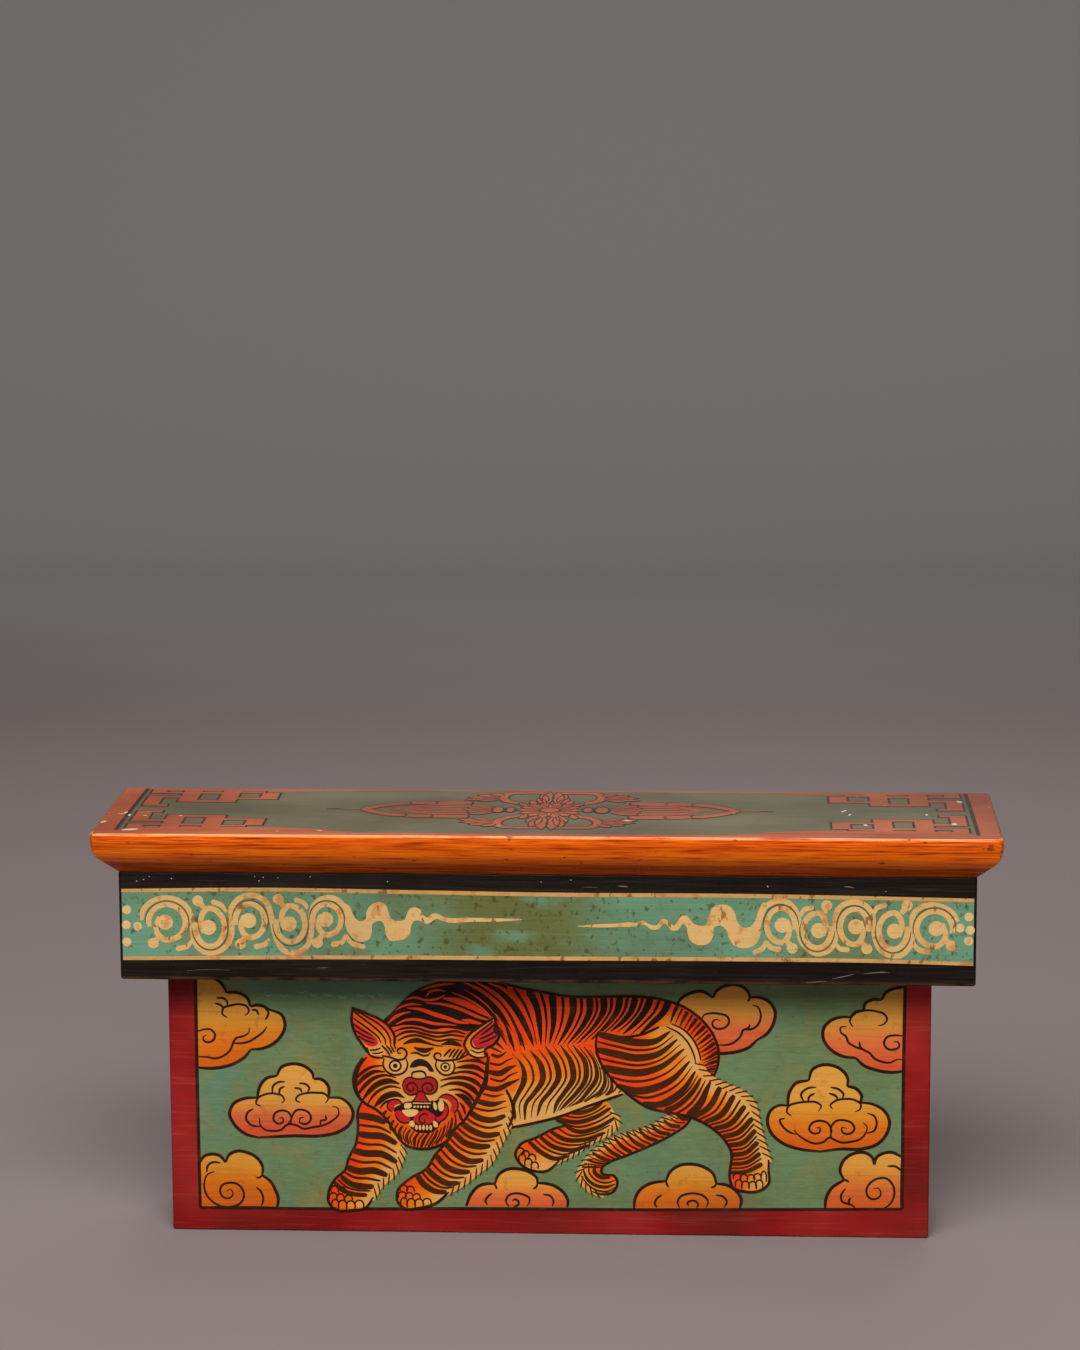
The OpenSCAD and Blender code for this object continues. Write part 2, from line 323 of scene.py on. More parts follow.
def raw_wood(name, pale, dark, grain):
    """Unpainted timber with soft and hard bands, saw marks and hand soil."""
    finish = Finish(name, {"Specular IOR Level": 0.3})
    bands = finish.noise(13, 6, grain, 0.6)
    pores = finish.noise(120, 4, grain, 4.1)
    saw = finish.noise(46, 2, (grain[1], grain[2], grain[0]), 2.0)
    colour = finish.mix(finish.between(bands, 0.36, 0.66), paint(*dark), paint(*pale))
    colour = finish.mix(finish.between(pores, 0.56, 0.7) * 0.5, colour, paint(72, 48, 28))
    colour = finish.stain(colour, paint(84, 62, 40), 0.45, 0.48, 0.74, 8, 5)
    return finish.surface({
        "Base Color": colour,
        "Roughness": finish.between(bands, 0.3, 0.7, 0.78, 0.66),
        "Normal": finish.bump(bands * 0.6 + pores * 0.3 + saw * 0.3, 0.6, 0.0008),
    })


def dull_steel():
    """Screw steel, tarnished brown in spots."""
    finish = Finish("dull_steel", {"Metallic": 1.0})
    tarnish = finish.noise(300, 5)
    colour = finish.mix(finish.between(tarnish, 0.45, 0.65), paint(150, 148, 144), paint(96, 78, 62))
    return finish.surface({
        "Base Color": colour,
        "Roughness": finish.between(tarnish, 0.35, 0.65, 0.3, 0.55),
        "Normal": finish.bump(tarnish, 0.3, 0.0002),
    })


VARNISH = varnished_edge()
TOP_RUST = plain_paint("top_rust", [(132, 57, 28), (156, 72, 38), (175, 90, 50)], soiling=0.35, chips=0.03,
                       under=paint(206, 184, 148), rough=0.44)
TOP_GREEN = plain_paint("top_green", [(75, 69, 45), (91, 84, 57), (104, 97, 71)], soiling=0.35, rough=0.44)
FRIEZE_TEAL = frieze_teal_paint()
FRIEZE_BLACK = frieze_black_paint()
CREAM = scroll_cream()
SCROLL_LINE = plain_paint("scroll_line", [(66, 82, 54), (80, 98, 68), (94, 106, 72)], soiling=0.3)
PANEL_RED = plain_paint("panel_red", [(106, 10, 12), (146, 20, 20), (170, 40, 36)], soiling=0.2, chips=0.01,
                        under=paint(80, 50, 34))
PANEL_GREEN = panel_green_paint()
PANEL_WASH = plain_paint("panel_wash", [(82, 116, 84), (92, 130, 97), (102, 140, 109)], soiling=0.3)
PANEL_DRIP = plain_paint("panel_drip", [(104, 142, 118), (116, 154, 130), (124, 160, 138)], soiling=0.3)
CLOUD = shaded_paint("cloud_paint",
                     [(0, (212, 96, 2)), (0.4, (222, 118, 8)), (0.7, (222, 146, 40)), (1, (222, 156, 62))],
                     [(0, (212, 82, 46)), (0.4, (222, 108, 60)), (0.7, (224, 148, 60)), (1, (222, 158, 66))],
                     soiling=0.25, streaks=0.2)
HIDE = shaded_paint("tiger_hide",
                    [(0, (172, 30, 10)), (0.25, (232, 60, 12)), (0.5, (234, 92, 10)), (0.72, (230, 132, 24)),
                     (1, (222, 168, 92))], soiling=0.12, streaks=0.12)
CRIMSON = plain_paint("crimson", [(164, 20, 24), (194, 28, 34), (212, 52, 50)], soiling=0.15)
BONE = plain_paint("bone_white", [(212, 158, 88), (228, 182, 112), (236, 200, 140)], soiling=0.12,
                   streaks=0.15)
GROUND_WHITE = plain_paint("ground_white", [(188, 172, 148), (206, 194, 174), (222, 212, 196)], soiling=0.1)
SCUFFED = plain_paint("scuffed_ground", [(104, 88, 70), (130, 112, 92), (150, 134, 112)], soiling=0.2)
INK = line_paint()
SAWN_WOOD = raw_wood("sawn_wood", (176, 134, 88), (128, 92, 56), ALONG_X)
SIDE_WOOD = raw_wood("side_wood", (168, 126, 82), (120, 86, 52), ALONG_Y)
POST_WOOD = raw_wood("post_wood", (176, 134, 88), (128, 92, 56), ALONG_Z)
DOWEL_WOOD = raw_wood("dowel_wood", (206, 170, 120), (170, 128, 80), ALONG_X)
STEEL = dull_steel()


# Boards

def finished(mesh, name, finishes):
    """Makes a piece of a mesh, with its finishes, on the table's one body."""
    piece = bpy.data.objects.new(name, mesh)
    bpy.context.scene.collection.objects.link(piece)
    for finish in finishes:
        mesh.materials.append(finish.material)
    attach(piece, "root")
    return piece


def skinned(rings, finish_of=None):
    """A closed mesh through rings of points in millimetres, with a flat cap at each end."""
    shell = bmesh.new()
    rows = [[shell.verts.new(Vector(p) * MM) for p in ring] for ring in rings]
    count = len(rows[0])
    for level, (low, high) in enumerate(zip(rows, rows[1:])):
        for i in range(count):
            j = (i + 1) % count
            face = shell.faces.new((low[i], low[j], high[j], high[i]))
            face.material_index = finish_of(level) if finish_of else 0
    first = shell.faces.new(rows[0])
    last = shell.faces.new(rows[-1])
    if finish_of:
        first.material_index = finish_of(-1)
        last.material_index = finish_of(len(rows))
    bmesh.ops.recalc_face_normals(shell, faces=shell.faces)
    mesh = bpy.data.meshes.new("board")
    shell.to_mesh(mesh)
    shell.free()
    mesh.polygons.foreach_set("use_smooth", [True] * len(mesh.polygons))
    mesh.set_sharp_from_angle(angle=math.radians(35))
    return mesh


def eased_board(node, axis, finishes, slot, ease, seed, inward):
    """A board in the place of a CAD node, with edges worn unevenly along its length and flat faces.
    The face that looks inward, along the given direction, takes the second finish."""
    low, high = box_mm(node)
    first, second = [i for i in range(3) if i != axis]
    length = high[axis] - low[axis]
    steps = max(8, round(length / 9))
    ends = (0, 0.4, 1.0, 2.0)
    stations = [*ends, *(length * i / steps for i in range(1, steps)), *(length - s for s in ends)]
    rings = []
    for station in sorted(stations):
        near = min(station, length - station)
        inset = 1.2 * max(0, 1 - near / 1.6) ** 2
        wander = noise.noise((station * 0.06, seed, 0.5)) + 0.5 * noise.noise((station * 0.31, seed, 2.5))
        ring = []
        for corner, (a, b) in enumerate([(1, 1), (-1, 1), (-1, -1), (1, -1)]):
            radius = ease * (1 + 0.55 * wander * (1 if corner % 2 else -1))
            edge_a = high[first] if a > 0 else low[first]
            edge_b = high[second] if b > 0 else low[second]
            for step in range(4):
                angle = math.radians(corner * 90 + step * 30)
                point = [0.0, 0.0, 0.0]
                point[axis] = low[axis] + station
                point[first] = edge_a - a * (radius + inset) + radius * math.cos(angle)
                point[second] = edge_b - b * (radius + inset) + radius * math.sin(angle)
                ring.append(point)
        rings.append(ring)
    mesh = skinned(rings)
    piece = finished(mesh, node + "_board", finishes)
    for polygon in mesh.polygons:
        if polygon.normal.dot(inward) > 0.9:
            polygon.material_index = 1
    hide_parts(node)


def turned(a, b, c, radius, steps=7):
    """Points of an arc that rounds the corner b of the path a, b, c."""
    a, b, c = Vector(a), Vector(b), Vector(c)
    u = (a - b).normalized()
    v = (c - b).normalized()
    half = u.angle(v) / 2
    middle = b + (u + v).normalized() * radius / math.sin(half)
    first = b + u * radius / math.tan(half) - middle
    last = b + v * radius / math.tan(half) - middle
    sweep = math.pi - 2 * half
    sense = 1 if first.x * last.y - first.y * last.x > 0 else -1
    points = []
    for i in range(steps + 1):
        turn = sense * sweep * i / steps
        x = middle.x + first.x * math.cos(turn) - first.y * math.sin(turn)
        y = middle.y + first.x * math.sin(turn) + first.y * math.cos(turn)
        points.append((x, y))
    return points


# The edge of the top board: height of its nose, rounding under the nose and of the upper arris
NOSE = 14.5
NOSE_RADIUS = 18
ARRIS = 2.0


def edge_section(overhang, thick):
    """The moulded edge of the top board: distance in from the nose, height above the underside."""
    foot, turn, crest = (overhang, 0), (0, thick - NOSE), (0, thick)
    section = [foot, (overhang * 0.7, (thick - NOSE) * 0.3)]
    section += turned(foot, turn, crest, NOSE_RADIUS)
    return section + turned(turn, crest, (overhang, thick), ARRIS, 6)


# The plank stops short of its full height by the thickness of the paint on it
TOP_FILM = 0.5
# How far the plane left the moulding uneven
PLANED = 0.3


def top_board():
    """The plank: a nose and a chamfer along its front and ends, a plain back edge."""
    low, high = box_mm("top_board")
    frieze = box_mm("frieze_front")[0]
    thick = high.z - low.z - TOP_FILM
    front = edge_section(frieze.y - low.y, thick)
    ends = edge_section(frieze.x - low.x, thick)
    rings = []
    for (front_in, height), (end_in, _) in zip(front, ends):
        radius = max(0.8, 4.5 - front_in)
        x = high.x - end_in
        y = low.y + front_in
        side = high.y - y - radius

        def corner(middle, start):
            angles = [start + math.pi / 2 * i / 6 for i in range(7)]
            return [(middle + radius * math.cos(a), y + radius + radius * math.sin(a)) for a in angles]

        ring = [(-x, high.y - side * i / 14) for i in range(14)]
        ring += corner(radius - x, math.pi)
        ring += [(radius - x + 2 * (x - radius) * i / 60, y) for i in range(1, 60)]
        ring += corner(x - radius, 1.5 * math.pi)
        ring += [(x, y + radius + side * i / 14) for i in range(1, 15)]
        placed = []
        for px, py in ring:
            if py < high.y - 1 and 0 < height < thick - 7:
                py += PLANED + PLANED * noise.noise((px * 0.022, py * 0.022, height * 0.05))
            placed.append((px, py, low.z + height))
        rings.append(placed)
    last = len(rings)
    mesh = skinned(rings, lambda level: 1 if level == last else 2 if level < 0 else 0)
    piece = finished(mesh, "top_plank", [VARNISH, TOP_RUST, SAWN_WOOD])
    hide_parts("top_board")


top_board()
# Board, the axis that it runs along, finish outside and inside, slot, worn edge, seed, way in
for board in (
    ("frieze_front", 0, [FRIEZE_BLACK, SAWN_WOOD], "frieze_paint", 1.3, 1.0, (0, 1, 0)),
    ("frieze_left", 1, [FRIEZE_BLACK, SIDE_WOOD], "frieze_paint", 1.1, 2.0, (1, 0, 0)),
    ("frieze_right", 1, [FRIEZE_BLACK, SIDE_WOOD], "frieze_paint", 1.1, 3.0, (-1, 0, 0)),
    ("front_panel", 0, [PANEL_RED, SAWN_WOOD], "panel_paint", 1.5, 4.0, (0, 1, 0)),
    ("side_panel_left", 2, [PANEL_RED, POST_WOOD], "panel_paint", 1.2, 5.0, (1, 0, 0)),
    ("side_panel_right", 2, [PANEL_RED, POST_WOOD], "panel_paint", 1.2, 6.0, (-1, 0, 0)),
):
    eased_board(*board)

for node, finish in {
    "frieze_back": SAWN_WOOD, "packing_front": SAWN_WOOD, "packing_left": SIDE_WOOD,
    "packing_right": SIDE_WOOD, "cleat_front": SAWN_WOOD, "cleat_back": SAWN_WOOD,
    "cleat_left": SIDE_WOOD, "cleat_right": SIDE_WOOD, "corner_block_left": POST_WOOD,
    "corner_block_right": POST_WOOD, "frieze_dowels": DOWEL_WOOD, "back_rail_dowels": DOWEL_WOOD,
    "body_dowels": DOWEL_WOOD, "cleat_screws": STEEL, "apron_screws": STEEL,
}.items():
    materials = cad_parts[node].data.materials
    materials.clear()
    materials.append(finish.material)


# Brush work

def smooth(points, closed=False, gap=1.1):
    """A rounded path through given points, which may carry a width as their third value."""
    count = len(points)
    spans = count if closed else count - 1
    points = [Vector(p) for p in points]

    def at(i):
        return points[i % count] if closed else points[min(max(i, 0), count - 1)]

    def stride(i):
        return max((at(i + 1).to_2d() - at(i).to_2d()).length, 1e-6)

    def slope(i):
        if not closed and i <= 0:
            return (at(1) - at(0)) / stride(0)
        if not closed and i >= count - 1:
            return (at(count - 1) - at(count - 2)) / stride(count - 2)
        before, after = stride(i - 1), stride(i)
        ahead, behind = (at(i + 1) - at(i)) / after, (at(i) - at(i - 1)) / before
        return (ahead * before + behind * after) / (before + after)

    path = []
    for i in range(spans):
        length = stride(i)
        steps = max(2, math.ceil(length / gap))
        start, end = at(i), at(i + 1)
        leave, arrive = slope(i) * length, slope(i + 1) * length
        for k in range(steps):
            t = k / steps
            path.append(start * (1 + 2 * t) * (1 - t) ** 2 + leave * t * (1 - t) ** 2
                        + end * t * t * (3 - 2 * t) + arrive * t * t * (t - 1))
    if not closed:
        path.append(points[-1])
    return path


def along(path, share):
    """The point at a share of a path's length."""
    position = min(max(share, 0), 1) * (len(path) - 1)
    i = min(int(position), len(path) - 2)
    return path[i].lerp(path[i + 1], position - i)


class Face:
    """A painted face: millimetres across and up on it, and out from it, and the slot of its paint."""

    def __init__(self, origin, across, up, slot):
        across, up = Vector(across), Vector(up)
        turn = Matrix((across, up, across.cross(up))).transposed().to_4x4()
        self.matrix = Matrix.Translation(Vector(origin) * MM) @ turn @ Matrix.Scale(MM, 4)
        self.slot = slot


def brush_tree():
    """Geometry Nodes that sweep a flat-topped stroke of paint along each path of a wire mesh."""
    tree = bpy.data.node_groups.new("brush_strokes", "GeometryNodeTree")
    for name, kind in (("Paths", "Geometry"), ("Film height", "Float"), ("Depth below", "Float"),
                       ("Edge slope", "Float"), ("Paint", "Material")):
        tree.interface.new_socket(name, in_out="INPUT", socket_type="NodeSocket" + kind)
    tree.interface.new_socket("Strokes", in_out="OUTPUT", socket_type="NodeSocketGeometry")

    def node(kind, settings, links):
        made = tree.nodes.new(kind)
        for name, value in settings.items():
            setattr(made, name, value)
        for name, value in links.items():
            if hasattr(value, "links"):
                tree.links.new(value, made.inputs[name])
            else:
                made.inputs[name].default_value = value
        return made

    given = tree.nodes.new("NodeGroupInput").outputs
    curve = node("GeometryNodeMeshToCurve", {}, {"Mesh": given["Paths"]})
    upright = node("GeometryNodeSetCurveNormal", {"mode": "Z_UP"}, {"Curve": curve.outputs[0]})
    width = node("GeometryNodeInputNamedAttribute", {"data_type": "FLOAT"}, {"Name": "half_width"})
    section = node("GeometryNodeCurvePrimitiveQuadrilateral", {"mode": "TRAPEZOID"},
                   {"Bottom Width": 2.0, "Top Width": given["Edge slope"], "Offset": 0.0, "Height": 2.0})
    swept = node("GeometryNodeCurveToMesh", {},
                 {"Curve": upright.outputs[0], "Profile Curve": section.outputs[0],
                  "Scale": width.outputs[0], "Fill Caps": True})
    place = node("GeometryNodeInputPosition", {}, {})
    parts = node("ShaderNodeSeparateXYZ", {}, {0: place.outputs[0]})
    raised = node("FunctionNodeCompare", {"data_type": "FLOAT", "operation": "GREATER_THAN"},
                  {0: parts.outputs["Z"], 1: 0.0})
    extra = node("GeometryNodeInputNamedAttribute", {"data_type": "FLOAT"}, {"Name": "lift"})
    crest = node("ShaderNodeMath", {"operation": "ADD"}, {0: given["Film height"], 1: extra.outputs[0]})
    level = node("GeometryNodeSwitch", {"input_type": "FLOAT"},
                 {"Switch": raised.outputs[0], "False": given["Depth below"], "True": crest.outputs[0]})
    whole = node("ShaderNodeCombineXYZ", {},
                 {0: parts.outputs["X"], 1: parts.outputs["Y"], 2: level.outputs[0]})
    laid = node("GeometryNodeSetPosition", {}, {"Geometry": swept.outputs[0], "Position": whole.outputs[0]})
    real = node("GeometryNodeRealizeInstances", {}, {0: laid.outputs[0]})
    dressed = node("GeometryNodeSetMaterial", {}, {"Geometry": real.outputs[0], "Material": given["Paint"]})
    tree.links.new(dressed.outputs[0], tree.nodes.new("NodeGroupOutput").inputs[0])
    return tree


BRUSH = brush_tree()
# A film of paint is rooted this far below its face. Strokes of one brush lie at slightly different
# heights, and each rises along its run, so that no two surfaces fall together
FILM_ROOT = -0.3
STROKE_LIFT = 0.004
STROKE_RISE = 0.003
LEAST_HALF_WIDTH = 0.06


class Strokes:
    """Brush strokes of one finish on a face, drawn at one height of the paint."""

    def __init__(self, face, height):
        self.face = face
        self.height = height
        self.points = []
        self.edges = []
        self.widths = []
        self.lifts = []
        self.shades = []
        self.count = 0

    def line(self, points, width=1.5, start=0.35, end=0.35, closed=False, shade=0.5, reach=0.3):
        """One stroke: its own widths where the points carry them, thinned towards its ends."""
        path = smooth(points, closed)
        first = len(self.points)
        lift = STROKE_LIFT * (self.count % 9)
        self.count += 1
        last = len(path) - 1
        for i, point in enumerate(path):
            t = i / last
            thin = 1.0
            if not closed:
                thin -= (1 - start) * max(0, 1 - t / reach) ** 2
                thin -= (1 - end) * max(0, 1 - (1 - t) / reach) ** 2
            full = point[2] if len(point) > 2 else width
            self.points.append((point[0], point[1], 0.0))
            self.widths.append(max(LEAST_HALF_WIDTH, full * thin / 2))
            self.lifts.append(lift + STROKE_RISE * t)
            self.shades.append(shade)
            if i:
                self.edges.append((first + i - 1, first + i))
        if closed:
            self.edges.append((first + last, first))

    def build(self, name, finish):
        wire = bpy.data.meshes.new(name + "_paths")
        wire.from_pydata(self.points, self.edges, [])
        for label, values in (("half_width", self.widths), ("lift", self.lifts), ("shade", self.shades)):
            wire.attributes.new(label, "FLOAT", "POINT").data.foreach_set("value", values)
        host = bpy.data.objects.new(name + "_paths", wire)
        bpy.context.scene.collection.objects.link(host)
        modifier = host.modifiers.new("strokes", "NODES")
        modifier.node_group = BRUSH
        values = {"Film height": self.height, "Depth below": FILM_ROOT, "Edge slope": 1.5,
                  "Paint": finish.material}
        for item in BRUSH.interface.items_tree:
            if item.name in values:
                modifier[item.identifier] = values[item.name]
        graph = bpy.context.evaluated_depsgraph_get()
        mesh = bpy.data.meshes.new_from_object(host.evaluated_get(graph), depsgraph=graph)
        bpy.data.objects.remove(host)
        mesh.materials.clear()
        place_film(mesh, self.face, name, finish)


def place_film(mesh, face, name, finish):
    """Lays a paint mesh on its face, with its faces outward."""
    mesh.transform(face.matrix)
    shell = bmesh.new()
    shell.from_mesh(mesh)
    bmesh.ops.recalc_face_normals(shell, faces=shell.faces)
    shell.to_mesh(mesh)
    shell.free()
    mesh.polygons.foreach_set("use_smooth", [False] * len(mesh.polygons))
    finished(mesh, name, [finish])


class Coats:
    """Flat coats of one finish on a face: thin closed sheets with a shade at each point."""

    def __init__(self, face):
        self.face = face
        self.points = []
        self.faces = []
        self.shades = []
        self.tones = []

    def coat(self, outline, height, shade=0.5, tone=0.0, cell=0.0):
        """Fills an outline. The shade is a number or a rule of place, and a cell adds points inside."""
        flat = [Vector((p[0], p[1])) for p in outline]
        count = len(flat)
        if cell:
            xs = [p.x for p in flat]
            ys = [p.y for p in flat]
            columns = int((max(xs) - min(xs)) / cell)
            rows = int((max(ys) - min(ys)) / cell)
            flat += [Vector((min(xs) + cell * (i + 0.5), min(ys) + cell * (j + 0.47)))
                     for i in range(columns) for j in range(rows)]
        points, _, triangles, _, _, _ = delaunay_2d_cdt(flat, [], [list(range(count))], 1, 1e-4)
        used = sorted({i for triangle in triangles for i in triangle})
        first = len(self.points)
        upper = {i: first + k for k, i in enumerate(used)}
        lower = {i: first + len(used) + k for k, i in enumerate(used)}
        for level in (height, FILM_ROOT):
            for i in used:
                self.points.append((points[i].x, points[i].y, level))
                self.shades.append(shade(points[i].x, points[i].y) if callable(shade) else shade)
                self.tones.append(tone)
        sides = {}
        for triangle in triangles:
            self.faces.append([upper[i] for i in triangle])
            self.faces.append([lower[i] for i in reversed(triangle)])
            for i, j in zip(triangle, list(triangle[1:]) + [triangle[0]]):
                if (j, i) in sides:
                    del sides[(j, i)]
                else:
                    sides[(i, j)] = True
        for i, j in sides:
            self.faces.append([upper[j], upper[i], lower[i], lower[j]])

    def disc(self, x, y, across, height, up=None, shade=0.5, turn=0.0, sides=22):
        """Fills an oval of the given radii, turned by an angle in degrees."""
        up = up or across
        lean = math.radians(turn)
        ring = []
        for i in range(sides):
            angle = 2 * math.pi * i / sides
            a, b = across * math.cos(angle), up * math.sin(angle)
            ring.append((x + a * math.cos(lean) - b * math.sin(lean),
                         y + a * math.sin(lean) + b * math.cos(lean)))
        self.coat(ring, height, shade)

    def build(self, name, finish):
        mesh = bpy.data.meshes.new(name)
        mesh.from_pydata(self.points, [], self.faces)
        mesh.attributes.new("shade", "FLOAT", "POINT").data.foreach_set("value", self.shades)
        mesh.attributes.new("tone", "FLOAT", "POINT").data.foreach_set("value", self.tones)
        place_film(mesh, self.face, name, finish)


def blended(spots):
    """A rule of shade that runs smoothly between given spots (across, up, shade)."""
    def rule(x, y):
        weights = [1 / ((x - sx) ** 2 + (y - sy) ** 2 + 4) ** 1.6 for sx, sy, _ in spots]
        return sum(w * s[2] for w, s in zip(weights, spots)) / sum(weights)
    return rule


RIGHT, UP, BACK = (1, 0, 0), (0, 0, 1), (0, 1, 0)
PANEL = Face((0, box_mm("front_panel")[0].y, 0), RIGHT, UP, "panel_paint")
FRIEZE = Face((0, box_mm("frieze_front")[0].y, 0), RIGHT, UP, "frieze_paint")
TOP = Face((0, 0, box_mm("top_board")[1].z - TOP_FILM), RIGHT, BACK, "top_varnish")
# Height of the first coat on a face, and of the black line that edges it
FIELD_COAT = 0.08
EDGE_LINE = 0.16

# Front panel

# Drips of an older wash below the frieze: left, right and lowest point
DRIPS = [
    (-205, -198.6, 175.7), (-195, -186.5, 175.7), (-183, -173, 178.5), (-172.6, -165, 176.4),
    (-163, -154, 176.4), (-152.4, -143.8, 174.8), (-138.6, -131.2, 176.4), (-130.9, -123.8, 176),
    (-123.6, -117.5, 177.1), (-104, -96.6, 177.8),
]
DRIP_ROOT = 180.2


def panel_field():
    """The green ground inside the red border, the drips on it and the black line that edges it."""
    low = [(-254, 17), (-140, 17.4), (-60, 18.6), (10, 19), (60, 19.2), (150, 20.4), (255, 22)]
    field = Coats(PANEL)
    field.coat(low + [(255.5, 110), (256, 214), (-253.5, 214), (-254, 110)], FIELD_COAT)
    field.build("panel_field", PANEL_GREEN)
    scallops = []
    rim = Strokes(PANEL, 0.14)
    for left, right, lowest in DRIPS:
        bowl = [(left + (right - left) * part, lowest + rise)
                for part, rise in ((0.1, 1.6), (0.28, 0.4), (0.5, 0), (0.72, 0.4), (0.9, 1.6))]
        scallops += [(left, DRIP_ROOT)] + bowl + [(right, DRIP_ROOT)]
        rim.line([(x, y + 0.6) for x, y in bowl], 1.1, 0.4, 0.4)
    rim.build("panel_drip_rims", PANEL_DRIP)
    wash = Coats(PANEL)
    wash.coat([(-222, 210), (-218, 183)] + scallops + [(-93, 183), (-84, 190), (-80, 210)], 0.11)
    wash.build("panel_wash", PANEL_WASH)
    edge = Strokes(PANEL, EDGE_LINE)
    edge.line(low, 2.3, 0.9, 0.9)
    edge.line([(-254.2, 214), (-254.6, 120), (-254.2, 17)], 2.5, 0.9, 0.9)
    edge.line([(255.8, 214), (255.2, 120), (255.4, 22)], 2.5, 0.9, 0.9)
    edge.build("panel_edge_line", INK)


